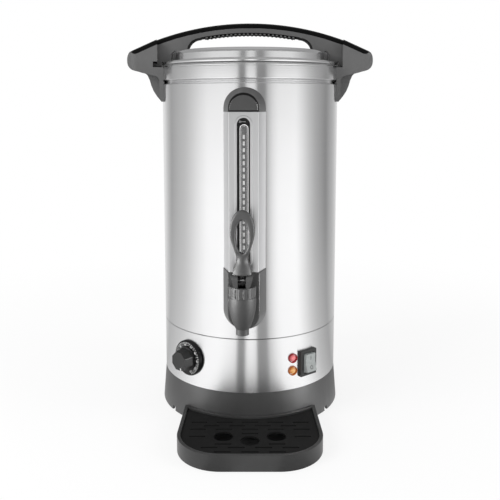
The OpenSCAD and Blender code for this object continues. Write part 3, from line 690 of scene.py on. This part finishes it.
    def finish(self, name: str, finish: Finish, slot: str, *nodes: str, body: str = "urn") -> None:
        """Names and dresses a finished piece, and hands it to its body.

        Args:
            name: Its name.
            finish: What it is finished in.
            slot: The record's material slot; not used.
            nodes: Nodes that it stands for.
            body: The body that it moves with.
        """
        self.clear()
        piece = self.object
        piece.name = name
        piece.data.name = name
        finish.lay_on(piece)
        if nodes:
            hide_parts(*nodes)
        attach(piece, body)
        log.info("%s rides on %s", name, body)

    def accent(self, finish: Finish, chosen: FaceTest) -> None:
        """Gives the faces that pass a test a second finish.

        Args:
            finish: The second finish.
            chosen: Test of a face by its normal and its corners in millimetres.
        """
        mesh = self.object.data
        mesh.materials.append(finish.material())
        for face in mesh.polygons:
            if chosen(face.normal, [mesh.vertices[i].co / MM for i in face.vertices]):
                face.material_index = len(mesh.materials) - 1


# ---- studio


@dataclass
class Studio:
    """Pale floor, plain soft light and the camera."""

    eye: tuple[float, float, float] = (0.0, -0.8799, 0.3816)
    pitch: float = 6.79
    lens: float = 49.44
    shift: float = -0.13
    dome: float = 0.55
    lamp_aim: float = 0.22
    strip_turn: float = 62.0
    strip_reach: float = 0.9
    strip_z: float = 0.3
    strip_aim: float = 0.25
    strip_size: Point = (0.12, 0.8)
    # what polished metal sees round the urn: degrees from the front, positive to the right, and level
    walls: tuple[Point, ...] = (
        (-180, 0.8), (-150, 0.8), (-136, 0.6), (-123, 0.4), (-105, 0.53), (-91, 0.63), (-80, 0.8), (-68, 1.03),
        (-55, 1.27), (-33, 1.33), (-22, 1.27), (-15, 1.1), (-13.6, 0.18), (-6, 0.2), (-4.6, 1.1), (0, 1.3),
        (7, 1.15), (8.5, 0.2), (19.5, 0.22), (21, 0.64), (29, 1.08), (36, 1.28), (60, 1.3), (70, 1.02),
        (80, 0.72), (91, 0.5), (104, 0.36), (115, 0.26), (125, 0.4), (136, 0.5), (155, 0.7), (180, 0.8),
    )

    def build(self) -> None:
        """Lays the floor, hangs the lights and sets the camera."""
        self.floor()
        self.air()
        self.lamp("left_light", (-1.3, -1.0, 1.1), 0.9, 17.0)
        self.lamp("right_light", (1.5, -0.6, 0.9), 0.8, 9.0)
        self.lamp("top_light", (-0.1, 0.1, 2.0), 1.2, 5.0)
        self.camera()
        bpy.context.scene.view_settings.view_transform = "Standard"

    def floor(self) -> None:
        """A pale floor that keeps the urn's shadow and fades to white."""
        Piece.clear()
        bpy.ops.mesh.primitive_plane_add(size=12, location=(0, 0, 0))
        plane = bpy.context.object
        plane.name = "floor"
        material = bpy.data.materials.new("floor_paper")
        shader = Shader(material)
        spot = shader.node("ShaderNodeTexCoord", {}, {}, "Object")
        reach = shader.node("ShaderNodeVectorMath", {"operation": "LENGTH"}, {0: spot}, "Value")
        ray = self.rays(shader)
        paper = shader.node("ShaderNodeBsdfDiffuse", {}, {"Color": (0.95, 0.95, 0.95, 1)})
        wall = shader.blend(reach.step(0.5, 1.6, 0.3, 0.0), self.wall(shader, spot), grey(0.75))
        colour = shader.blend(ray["Glossy"], grey(1.0), wall)
        white = shader.node("ShaderNodeEmission", {}, {"Color": colour, "Strength": 1.0})
        seen = ray["Camera"].over(ray["Transmission"]) * reach.step(0.25, 0.9, 0.8, 1.0)
        mixed = shader.node("ShaderNodeMixShader", {}, {0: seen.over(ray["Glossy"]), 1: paper, 2: white})
        shader.node("ShaderNodeOutputMaterial", {}, {"Surface": mixed})
        plane.data.materials.append(material)

    @staticmethod
    def rays(shader: Shader) -> dict[str, Signal]:
        """One for rays of the camera, for those that metal sends on, and for those that glass lets through."""
        return {kind: shader.node("ShaderNodeLightPath", {}, {}, f"Is {kind} Ray")
                for kind in ("Camera", "Glossy", "Transmission")}

    def wall(self, shader: Shader, way: Signal) -> Signal:
        """What polished metal sees of the studio.

        Args:
            shader: The shader to work in.
            way: Direction as a vector.

        Returns:
            Level of the walls in that direction.
        """
        x, y = (shader.node("ShaderNodeSeparateXYZ", {}, {0: way}, axis) for axis in "XY")
        turn = x.angle(0.0 - y) / tau + 0.5
        stops = [(a / 360 + 0.5, v) for a, v in self.walls]
        return shader.node("ShaderNodeValToRGB", {"stops": stops}, {0: turn})

    def air(self) -> None:
        """White behind the urn, pale and grey walls in what it reflects, and an even dome of light."""
        world = bpy.data.worlds.new("studio_air")
        bpy.context.scene.world = world
        shader = Shader(world)
        way = shader.node("ShaderNodeTexCoord", {}, {}, "Generated")
        high = shader.node("ShaderNodeSeparateXYZ", {}, {0: way}, "Z")
        level = shader.blend(high.step(0.035, 0.125), self.wall(shader, way), grey(0.33))
        level = shader.blend(high.step(0.6, 0.95), level, grey(0.45))
        ray = self.rays(shader)
        lit = shader.blend(ray["Glossy"], grey(self.dome), level)
        colour = shader.blend(ray["Camera"].over(ray["Transmission"]), lit, grey(1.0))
        back = shader.node("ShaderNodeBackground", {}, {"Color": colour, "Strength": 1.0})
        shader.node("ShaderNodeOutputWorld", {}, {"Surface": back})

    @staticmethod
    def area(name: str, place: Vector, aim_z: float, size: Point, power: float) -> bpy.types.Object:
        """Hangs an area light that faces the urn's axis.

        Args:
            name: Its name.
            place: Where it hangs, in metres.
            aim_z: Height that it faces, in metres.
            size: Its width and height in metres.
            power: Its power in watts.

        Returns:
            The light.
        """
        Piece.clear()
        aim = Vector((0, 0, aim_z)) - place
        bpy.ops.object.light_add(type="AREA", location=place, rotation=aim.to_track_quat("-Z", "Y").to_euler())
        light = bpy.context.object
        light.name = name
        light.data.shape = "RECTANGLE"
        light.data.size, light.data.size_y = size
        light.data.energy = power
        return light

    def lamp(self, name: str, place: tuple[float, float, float], size: float, power: float) -> None:
        """Hangs a soft square light that polished metal doesn't show."""
        self.area(name, Vector(place), self.lamp_aim, (size, size), power).visible_glossy = False

    def strips(self, finishes: Sequence[Finish], left: float, right: float) -> None:
        """Stands a narrow upright light on each side, which only pieces of the given finishes show.

        Args:
            finishes: The finishes.
            left: Power of the left light in watts.
            right: Power of the right light in watts.
        """
        names = {finish.material().name for finish in finishes}
        shown = bpy.data.collections.new(finishes[0].name + "_parts")
        for piece in bpy.data.objects:
            if piece.type == "MESH" and piece.material_slots and piece.material_slots[0].material.name in names:
                shown.objects.link(piece)
        for side, power, label in ((-1, left, "_left"), (1, right, "_right")):
            turn = radians(self.strip_turn * side)
            place = Vector((self.strip_reach * sin(turn), -self.strip_reach * cos(turn), self.strip_z))
            light = self.area(finishes[0].name + label, place, self.strip_aim, self.strip_size, power)
            light.visible_diffuse = False
            light.light_linking.receiver_collection = shown

    def camera(self) -> None:
        """Sets the camera at eye height, tipped down, with its frame shifted down."""
        Piece.clear()
        bpy.ops.object.camera_add(location=self.eye, rotation=(radians(90 - self.pitch), 0, 0))
        camera = bpy.context.object
        camera.data.sensor_width = 36
        camera.data.lens = self.lens
        camera.data.shift_y = self.shift
        bpy.context.scene.camera = camera


# ---- sub-assemblies


@dataclass
class SteelBody:
    """The tank with its rolled groove and rim, and the control band under it."""

    radius: float = 110.0
    sheet: float = 0.8
    band_low: float = 44.05
    hem: float = 98.0
    seam: float = 109.0
    gap: float = 0.55
    floor: float = 118.0
    groove_z: float = 407.0
    groove_half: float = 3.25
    groove_depth: float = 3.0
    groove_steps: int = 14
    rim_z: float = 427.0
    rim_h: float = 3.6
    bead: float = 2.0
    steps: int = 256

    def groove(self, radius: float) -> list[Point]:
        """The wave of the rolled groove.

        Args:
            radius: Radius of the wall that it is rolled into, in millimetres.

        Returns:
            Its points from its foot to its head.
        """
        wave = []
        for i in range(self.groove_steps + 1):
            along = 2 * i / self.groove_steps - 1
            dip = self.groove_depth * (0.5 + 0.5 * cos(pi * along))
            wave.append((radius - dip, self.groove_z + self.groove_half * along))
        return wave

    def tank(self) -> None:
        """Spins the tank's sheet, from the seam over the rim to the floor inside."""
        r, inner, foot, neck = self.radius, self.radius - self.sheet, self.seam + self.gap, self.rim_z - self.rim_h
        profile = [
            (r - 0.5, foot), (r - 0.15, foot + 0.15), (r, foot + 0.5), *self.groove(r), (r, neck),
            *arc(r - 0.2 - self.bead, self.rim_z - self.bead, self.bead, -20, 205, 18),
            (inner, neck), *reversed(self.groove(inner)), *arc(inner - 4, self.floor + 5, 4, 0, -90),
            (0, self.floor + 1), (0, self.floor), (inner - 4.4, self.floor), (inner, self.floor - 0.5),
            (inner, foot),
        ]
        shell = Piece.lathe(profile, self.steps).smooth(30, True)
        shell.finish("tank_shell", SHELL, "stainless", "tank")

    def band(self) -> None:
        """Spins the control band with its turned-in top and rounded lower edge."""
        r, inner, low, top = self.radius, self.radius - self.sheet, self.band_low, self.seam
        profile = [
            (r - 0.35, low), (r - 0.08, low + 0.12), (r, low + 0.4), (r, top - 0.9), (r - 0.18, top - 0.3),
            (r - 0.6, top), (self.hem, top), (self.hem, top - self.sheet), (inner, top - self.sheet), (inner, low),
        ]
        band = Piece.lathe(profile, self.steps).smooth(30, True)
        band.finish("band_shell", SHELL, "stainless", "control_band")

    def build(self) -> None:
        """Makes both shells."""
        self.tank()
        self.band()


@dataclass
class Lid:
    """The dished pan, the arched handle with its finger strip, and the vent."""

    wall: float = 97.6
    top: float = 445.0
    shoulder: float = 5.0
    sheet: float = 0.8
    under: float = 429.5
    bead: Point = (108.0, 429.9)
    steps: int = 256
    vent: Point = (50.5, -30.5)
    arch_z: float = 139.0
    arch_r: float = 341.0
    arch_t: float = 12.0
    bevel: float = 6.4
    opening: float = 78.0
    rib_y: float = -11.5

    def pan(self) -> None:
        """Spins the pan from the middle of its top to the rolled flange and back underneath."""
        corner = (self.wall - self.shoulder, self.top - self.shoulder)
        fillet = (self.wall + 3, self.under + 3.8)
        profile = [
            (0, self.top), (40, self.top), *arc(*corner, self.shoulder, 90, 0, 12), *arc(*fillet, 3, 180, 270),
            (105.6, self.under + 0.8), *arc(*self.bead, 2, 160, -160, 24), (105.6, self.under),
            *arc(*fillet, 3.8, 270, 180), *arc(*corner, self.shoulder - self.sheet, 0, 90, 12),
            (40, self.top - self.sheet), (0, self.top - self.sheet),
        ]
        pan = Piece.lathe(profile, self.steps).smooth(30, True)
        pan.finish("lid_shell", LID, "stainless", "lid_pan", body="lid")

    def reach(self, corner: Vector) -> float:
        """Distance of a corner from the axis that the arch is turned about."""
        return hypot(corner.x, corner.z - self.arch_z)

    def handle(self) -> None:
        """Softens the arch, and paints near-black shade on its bevelled top and in its opening."""
        skin = self.arch_r - self.bevel - 0.05
        roof = self.arch_r - self.arch_t + 0.1
        arch = Piece.copy_of("lid_handle").soften(0.7).smooth(30, True)
        arch.finish("lid_arch", HANDLE, "dark_plastic", "lid_handle", body="lid")
        # painted shade on the arch's bevelled top
        arch.accent(PAINTED_SHADE_TOP, lambda normal, corners: all(self.reach(c) > skin for c in corners))
        # painted shade on the arch's underside, in its opening
        arch.accent(DARK_GRIP_AND_SHADE, lambda normal, corners: abs(normal.y) < 0.5 and all(
            self.reach(c) < roof and abs(c.x) < self.opening + 0.1 for c in corners))

    def strip(self) -> None:
        """Shades the ribbed finger strip, and paints highlights on the front ends of its ribs."""
        strip = Piece.copy_of("handle_grip").smooth(30)
        strip.finish("finger_strip", DARK_GRIP_AND_SHADE, "switch_plastic", "handle_grip", body="lid")
        # painted highlights on the ribs' front ends
        strip.accent(PAINTED_RIB_HIGHLIGHT, lambda normal, corners: normal.y < -0.9 and all(c.y < self.rib_y for c in corners))

    def plug(self) -> None:
        """Spins the vent's cap round its hole."""
        low = self.top + 0.05
        profile = [
            (1.2, low), (9.3, low), (9.5, low + 0.3), (9.5, low + 1.5), (9.1, low + 2.3), (8.3, low + 2.85),
            (6.6, low + 2.95), (6.2, low + 2.6), (3.0, low + 2.5), (2.4, low + 2.9), (1.5, low + 2.9), (1.2, low + 2.6),
        ]
        plug = Piece.lathe(profile, 96).move(shift(*self.vent, 0)).smooth(30)
        plug.finish("vent_plug", BLACK, "switch_plastic", "vent_cap", body="lid")

    def build(self) -> None:
        """Makes the lid's pieces."""
        self.pan()
        self.handle()
        self.strip()
        self.plug()


@dataclass
class Mouldings:
    """Moulded parts whose edges are softened: base ring, handles, tray, grille, switch frame and tap."""

    nose: Point = (138.6, 434.0)
    nose_r: float = 13.2
    slope: float = 24.1
    bevel: float = 6.4

    def on_wing(self, corner: Vector) -> bool:
        """Whether a corner of a carrying handle lies on its bevelled top."""
        turn = radians(self.slope)
        rise = (abs(corner.x) - self.nose[0]) * sin(turn) + (corner.z - self.nose[1]) * cos(turn)
        return rise > self.nose_r - self.bevel - 0.05

    def build(self) -> None:
        """Softens each part by its own edge radius."""
        parts = (
            ("base_ring", "base_skirt", HOUSING, "urn", "dark_plastic", 0.5),
            ("left_handle", "left_grip", HANDLE, "urn", "dark_plastic", 0.8),
            ("right_handle", "right_grip", HANDLE, "urn", "dark_plastic", 0.8),
            ("drip_tray", "tray_dish", TRAY, "tray", "tray_plastic", 0.7),
            ("drip_grille", "tray_grille", GRILLE, "grille", "grille_plastic", 0.3),
            ("switch_frame", "switch_bezel", BLACK, "urn", "switch_plastic", 0.5),
            ("tap_body", "tap_casting", TAP, "urn", "tap_plastic", 0.5),
            ("tap_bonnet", "tap_collar", TAP, "urn", "tap_plastic", 0.35),
        )
        for node, name, finish, body, slot, width in parts:
            part = Piece.copy_of(node).soften(width, 2).smooth(35, True)
            part.finish(name, finish, slot, node, body=body)
            if finish is HANDLE:
                # painted shade on the bevelled tops of the carrying handles
                part.accent(PAINTED_SHADE_TOP, lambda normal, corners: all(self.on_wing(c) for c in corners))


@dataclass
class Panel:
    """The bent steel channel, the cap above it and the housing under it."""

    turn: float = GAUGE_TURN
    face: float = 128.0
    half: float = 17.0
    proud: float = 0.8
    bend: float = 1.1
    slot: tuple[float, float, float] = (7.3, 207.7, 358.6)
    ring_w: float = 2.6
    ring_h: float = 0.7
    ring_bends: tuple[float, float] = (0.6, 0.35)
    cap_mid: float = 376.5
    shadow_low: float = -4.1
    disc_r: float = 15.9
    disc_low: float = -2.7
    disc_mid: float = -1.8
    disc_t: float = 1.3
    housing_mid: float = 145.5
    housing_bend: float = 1.0
    near: float = 0.1

    def round_line(self, piece: Piece, proud: float, reach: Distance, width: float, segments: int = 3) -> None:
        """Bevels a piece's edges that run along an outline on the front plane, and not across it.

        Args:
            piece: The piece.
            proud: How far the plane stands off the channel's front, in millimetres.
            reach: Distance of a point from the outline, by x and z.
            width: Width of the bevel in millimetres.
            segments: Number of steps in the bevel.
        """

        def chosen(*ends: Vector) -> bool:
            """Whether an edge with these ends is one of them."""
            at = [spin(-self.turn) @ end for end in ends]
            near = all(abs(p.y + self.face + proud) < self.near and abs(reach(p.x, p.z)) < self.near for p in at)
            return near and abs(at[0].x - at[1].x) < 0.5 * self.half

        piece.round_edges(chosen, width, segments)

    def from_slot(self, x: float, z: float) -> float:
        """Distance of a point from the slot's middle line."""
        return hypot(x, z - min(max(z, self.slot[1]), self.slot[2]))

    def channel(self) -> None:
        """Rounds the channel's bends and the raised rim of its slot."""
        cover = Piece.copy_of("gauge_cover")
        self.round_line(cover, 0, lambda x, z: abs(x) - self.half, self.bend, 4)
        hole = self.slot[0]
        rim = hole + self.ring_w
        self.round_line(cover, self.ring_h, lambda x, z: self.from_slot(x, z) - rim, self.ring_bends[0])
        self.round_line(cover, self.ring_h, lambda x, z: self.from_slot(x, z) - hole, self.ring_bends[1])
        cover.smooth(40, True).finish("gauge_channel", COVER, "stainless", "gauge_cover")

    def cap(self) -> None:
        """Softens the cap and lays the raised half-disc on its front, over a near-black plate of painted shadow."""
        cap = Piece.copy_of("gauge_cap").soften(0.6).smooth(35, True)
        cap.finish("gauge_hood", HOUSING, "dark_plastic", "gauge_cap")
        front = outward(self.turn, self.face, self.cap_mid)
        # painted shadow: a thin near-black plate behind the disc, which shows as a dark crescent round it
        edge, low = self.half - 0.5, self.shadow_low
        groove = Piece.prism([(-edge, low), (edge, low), *arc(0, 0, edge, 0, 180, 32)], 0.1)
        groove.move(front).finish("hood_groove", SHADOW, "dark_plastic")
        edge, low = self.disc_r, self.disc_low
        disc = Piece.prism([(-edge, low), (edge, low), *arc(0, self.disc_mid, edge, 0, 180, 32)], self.disc_t)
        disc.move(front).soften(1.0).smooth(35, True).finish("hood_disc", HOUSING, "dark_plastic")

    def housing(self) -> None:
        """Rounds the housing's bends."""
        shroud = Piece.copy_of("tap_housing")
        side = self.half + self.proud
        self.round_line(shroud, self.proud, lambda x, z: hypot(x, min(z - self.housing_mid, 0)) - side,
                        self.housing_bend)
        shroud.smooth(35, True).finish("tap_shroud", HOUSING, "dark_plastic", "tap_housing")

    def build(self) -> None:
        """Makes the three."""
        self.channel()
        self.cap()
        self.housing()


@dataclass
class SightGauge:
    """The glass tube and the white marks on it and behind it."""

    turn: float = GAUGE_TURN
    tube_y: float = -118.8
    radius: float = 4.75
    wall: float = 1.6
    low: float = 170.0
    top: float = 358.4
    face: float = 112.62
    pitch: float = 7.3
    rows: int = 20
    first_row: float = 204.0
    dash: tuple[float, float] = (2.2, 4.4)
    full_z: float = 361.2

    def tube(self) -> None:
        """Spins the tube with its domed top."""
        inner = self.radius - self.wall
        centre = self.top - self.radius
        profile = [
            (self.radius, self.low), *arc(0, centre, self.radius, 0, 78, 12), (0.8, self.top - 0.15),
            (0.8, self.top - 1.6), *arc(0, centre, inner, 72, 0), (inner, self.low),
        ]
        tube = Piece.lathe(profile).move(spin(self.turn) @ shift(0, self.tube_y, 0)).smooth(40)
        tube.finish("sight_tube", GLASS, "glass", "gauge_tube")

    def marks(self) -> None:
        """Prints a row of dashes on the tube and the full mark on the backing."""
        front = self.radius - self.tube_y - 0.1
        rows = [outward(self.turn, front, self.first_row + self.pitch * i) for i in range(self.rows)]
        dashes = Piece.prism(bar(self.dash[0] / 2, 0, self.dash[1])).repeat(rows)
        dashes.finish("gauge_dashes", INK, "switch_plastic")
        flag = Piece.prism([(-6, -1.6), (-2.4, -0.5), (1.6, -0.5), (1.6, 0.5), (-2.4, 0.5), (-6, 1.6)])
        flag.move(outward(self.turn, self.face, self.full_z)).finish("full_mark", INK, "switch_plastic")

    def build(self) -> None:
        """Makes the gauge's pieces."""
        self.tube()
        self.marks()


@dataclass
class TapLever:
    """The loop lever, whose moulded edges are well rounded."""

    turn: float = GAUGE_TURN
    grain: float = 0.42
    neck: tuple[float, float] = (193.0, 221.0)
    sink: float = 3.4
    fade: float = 8.0
    relax: tuple[int, int] = (10, 120)
    shares: tuple[Point, ...] = ((197.0, 0.3), (199.0, 0.6), (201.5, 1.0))

    def crown(self, corners: Iterable[bpy.types.MeshVertex]) -> None:
        """Presses the sides of the neck's front back, so that it is rounded across.

        Args:
            corners: Corners of the remeshed lever.
        """
        turn = radians(self.turn)
        out = Vector((sin(turn), -cos(turn), 0))
        across = Vector((-out.y, out.x, 0))
        rows: dict[int, list[bpy.types.MeshVertex]] = {}
        for corner in corners:
            height = corner.co.z / MM
            if self.neck[0] < height < self.neck[1]:
                rows.setdefault(round(height), []).append(corner)
        for height, row in rows.items():
            ends = [corner.co.dot(out) for corner in row]
            sides = [corner.co.dot(across) for corner in row]
            middle, half = (max(sides) + min(sides)) / 2, (max(sides) - min(sides)) / 2
            fade = min(1.0, (self.neck[1] - height) / self.fade)
            for corner, end, side in zip(row, ends, sides):
                share = (end - min(ends)) / (max(ends) - min(ends))
                corner.co -= out * (self.sink * MM * fade * share * ((side - middle) / half) ** 2)

    def build(self) -> None:
        """Rounds a copy of the lever by remeshing and relaxing it, and its loop and neck more than its lugs."""
        lever = Piece.copy_of("tap_lever")
        lever.modify("REMESH", mode="VOXEL", voxel_size=self.grain * MM, adaptivity=0.0)
        self.crown(lever.object.data.vertices)
        lever.modify("SMOOTH", factor=0.5, iterations=self.relax[0])
        upper = lever.object.vertex_groups.new(name="upper")
        for low, share in self.shares:
            upper.add([v.index for v in lever.object.data.vertices if v.co.z > low * MM], share, "REPLACE")
        lever.modify("SMOOTH", factor=0.5, iterations=self.relax[1], vertex_group=upper.name)
        lever.smooth(60).finish("lever_loop", TAP, "tap_plastic", "tap_lever", body="lever")


@dataclass
class ThermostatDial:
    """The printed plate on the band, and the eight-sided knob that turns on it."""

    turn: float = -41.5
    height: float = 77.5
    face: float = 114.0
    plate_foot: float = 106.0
    plate_r: float = 21.5
    first: int = 30
    last: int = 110
    sweep: float = 270.0
    rest: float = 157.5
    tick_r: float = 17.8
    number_r: float = 16.1
    number_size: float = 3.2
    sunk: float = 0.24
    knob_face: float = 128.25

    def plate(self) -> None:
        """Spins the plate with a raised rim and sinks its print ring slightly."""
        r = self.plate_r
        profile = [
            (5, 3.5), (r, 3.5), (r, 6.6), (r - 0.5, 7.5), (r - 1.2, 7.95), (r - 1.6, 7.95), (r - 1.9, 7.75), (5, 7.75),
        ]
        plate = Piece.lathe(profile, 128).move(outward(self.turn, self.plate_foot, self.height)).smooth(30)
        plate.finish("dial_disc", DIAL, "black_plastic", "dial_plate")

    def spoke(self, degrees: float, radius: float, sunk: float) -> Matrix:
        """A frame on the dial at a clock angle from the top, whose Y points away from the middle."""
        return outward(self.turn, self.face - sunk, self.height) @ spin(-degrees) @ shift(0, radius, 0)

    def marks(self) -> None:
        """Prints ticks, dots and numbers round the knob."""
        count = (self.last - self.first) // 10
        step = self.sweep / count
        start = self.rest - self.sweep
        spots = [self.spoke(start + step * i / 4, self.tick_r, self.sunk) for i in range(4 * count + 1)]
        Piece.prism(bar(0.38, 0, 1.7)).repeat(spots).finish("dial_ticks", INK, "black_plastic")
        spots = [self.spoke(start + step * (i + 0.5), self.number_r, self.sunk) for i in range(count)]
        Piece.prism(arc(0, 0, 0.55, 0, 330, 11)).repeat(spots).finish("dial_dots", INK, "black_plastic")
        numbers = [self.number(self.first + 10 * i, start + step * i) for i in range(count + 1)]
        Piece.join(numbers).finish("dial_numbers", INK, "black_plastic")

    def number(self, value: int, degrees: float) -> Piece:
        """Prints one number.

        Args:
            value: The number.
            degrees: Its clock angle.

        Returns:
            The print.
        """
        Piece.clear()
        bpy.ops.object.text_add()
        text = bpy.context.object.data
        text.body = str(value)
        text.size = self.number_size * MM
        text.offset = 0.07 * MM
        text.align_x = text.align_y = "CENTER"
        text.extrude = PRINT / 2 * MM
        bpy.ops.object.convert(target="MESH")
        return Piece(bpy.context.object).move(self.spoke(degrees, self.number_r, self.sunk - PRINT / 2))

    def knob(self) -> None:
        """Softens the grip and lets a white pointer into its lower corner."""
        grip = Piece.copy_of("knob").soften(0.5).smooth(25, True)
        grip.finish("dial_knob", KNOB, "dark_plastic", "knob", body="dial")
        pointer = Piece.prism(bar(0.8, 8.4, 11.1), 0.12)
        pointer.move(outward(self.turn, self.knob_face, self.height) @ spin(-self.rest))
        pointer.finish("knob_pointer", INK, "dark_plastic", body="dial")

    def build(self) -> None:
        """Makes the dial's pieces."""
        self.plate()
        self.marks()
        self.knob()


@dataclass
class PilotLamps:
    """Two pilot lamps, each a tinted rim round a domed lens."""

    turn: float = 27.3
    foot: float = 109.0
    red_z: float = 82.4
    amber_z: float = 67.0

    def lamp(self, node: str, height: float, rim: Finish, lens: Finish, slot: str) -> None:
        """Makes one lamp.

        Args:
            node: The lamp's node.
            height: Height of its middle in millimetres.
            rim: Finish of the rim.
            lens: Finish of the lens.
            slot: Material slot of both.
        """
        place = outward(self.turn, self.foot, height)
        ring = [(3.9, 0), (5.7, 0), (5.7, 2.2), *arc(5.05, 2.5, 0.65, 0, 120), (4.45, 2.4), (4.3, 0.6)]
        Piece.lathe(ring).move(place).smooth(40).finish(node + "_rim", rim, slot, node)
        dome = [(0, 0.2), (4.05, 0.2), (4.0, 1.0), (3.75, 1.7), (3.1, 2.5), (2.2, 3.1), (1.1, 3.45), (0, 3.55)]
        Piece.lathe(dome).move(place).smooth(50).finish(node + "_lens", lens, slot)

    def build(self) -> None:
        """Makes both lamps."""
        self.lamp("lamp_red", self.red_z, RED_RIM, RED_LENS, "red_lens")
        self.lamp("lamp_amber", self.amber_z, AMBER_RIM, AMBER_LENS, "amber_lens")


@dataclass
class RockerSwitch:
    """The see-through rocker and its marks."""

    turn: float = 38.3
    face: float = 110.0
    height: float = 73.6
    tilt: float = -8.0
    slope: float = 7.6
    ridge: float = 7.2
    mark: float = 5.6
    ink: float = 0.08

    def spot(self, side: int) -> Matrix:
        """The frame of a mark on the rocker's upper face (side 1) or lower face (side -1)."""
        base = outward(self.turn, self.face, self.height) @ spin(self.tilt, "X") @ shift(0, 0, self.ridge)
        return base @ spin(self.slope * side, "X") @ shift(0, self.mark * side, 0)

    def build(self) -> None:
        """Softens the rocker and prints its two marks."""
        rocker = Piece.copy_of("rocker").soften(0.6).smooth(35)
        rocker.finish("rocker_cap", CLOUDY, "rocker_plastic", "rocker", body="switch")
        line = Piece.prism(bar(0.5, -2.2, 2.2), self.ink).move(self.spot(1))
        line.finish("on_mark", MARK, "rocker_plastic", body="switch")
        ring = Piece.lathe([(1.5, 0), (2.4, 0), (2.4, self.ink), (1.5, self.ink)], 48).move(self.spot(-1))
        ring.finish("off_mark", MARK, "rocker_plastic", body="switch")


def dress_nodes() -> None:
    """Lays each node's finish on the pieces that show as they came."""
    for finish, names in NODE_FINISHES.items():
        finish.lay_on(*(frame["nodes"][name] for name in names))
        log.info("%s on %s", finish.name, ", ".join(names))


def main() -> None:
    """Builds the scene in order."""
    logging.basicConfig(level=logging.INFO, format="%(message)s")
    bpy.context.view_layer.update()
    studio = Studio()
    studio.build()
    dress_nodes()
    for assembly in (SteelBody(), Lid(), Mouldings(), Panel(), SightGauge(), TapLever(), ThermostatDial(),
                     PilotLamps(), RockerSwitch()):
        assembly.build()
        log.info("%s built", type(assembly).__name__)
    studio.strips((HOUSING, KNOB), 20.0, 38.0)
    studio.strips((TAP,), 50.0, 29.0)


if __name__ == "__main__":
    main()
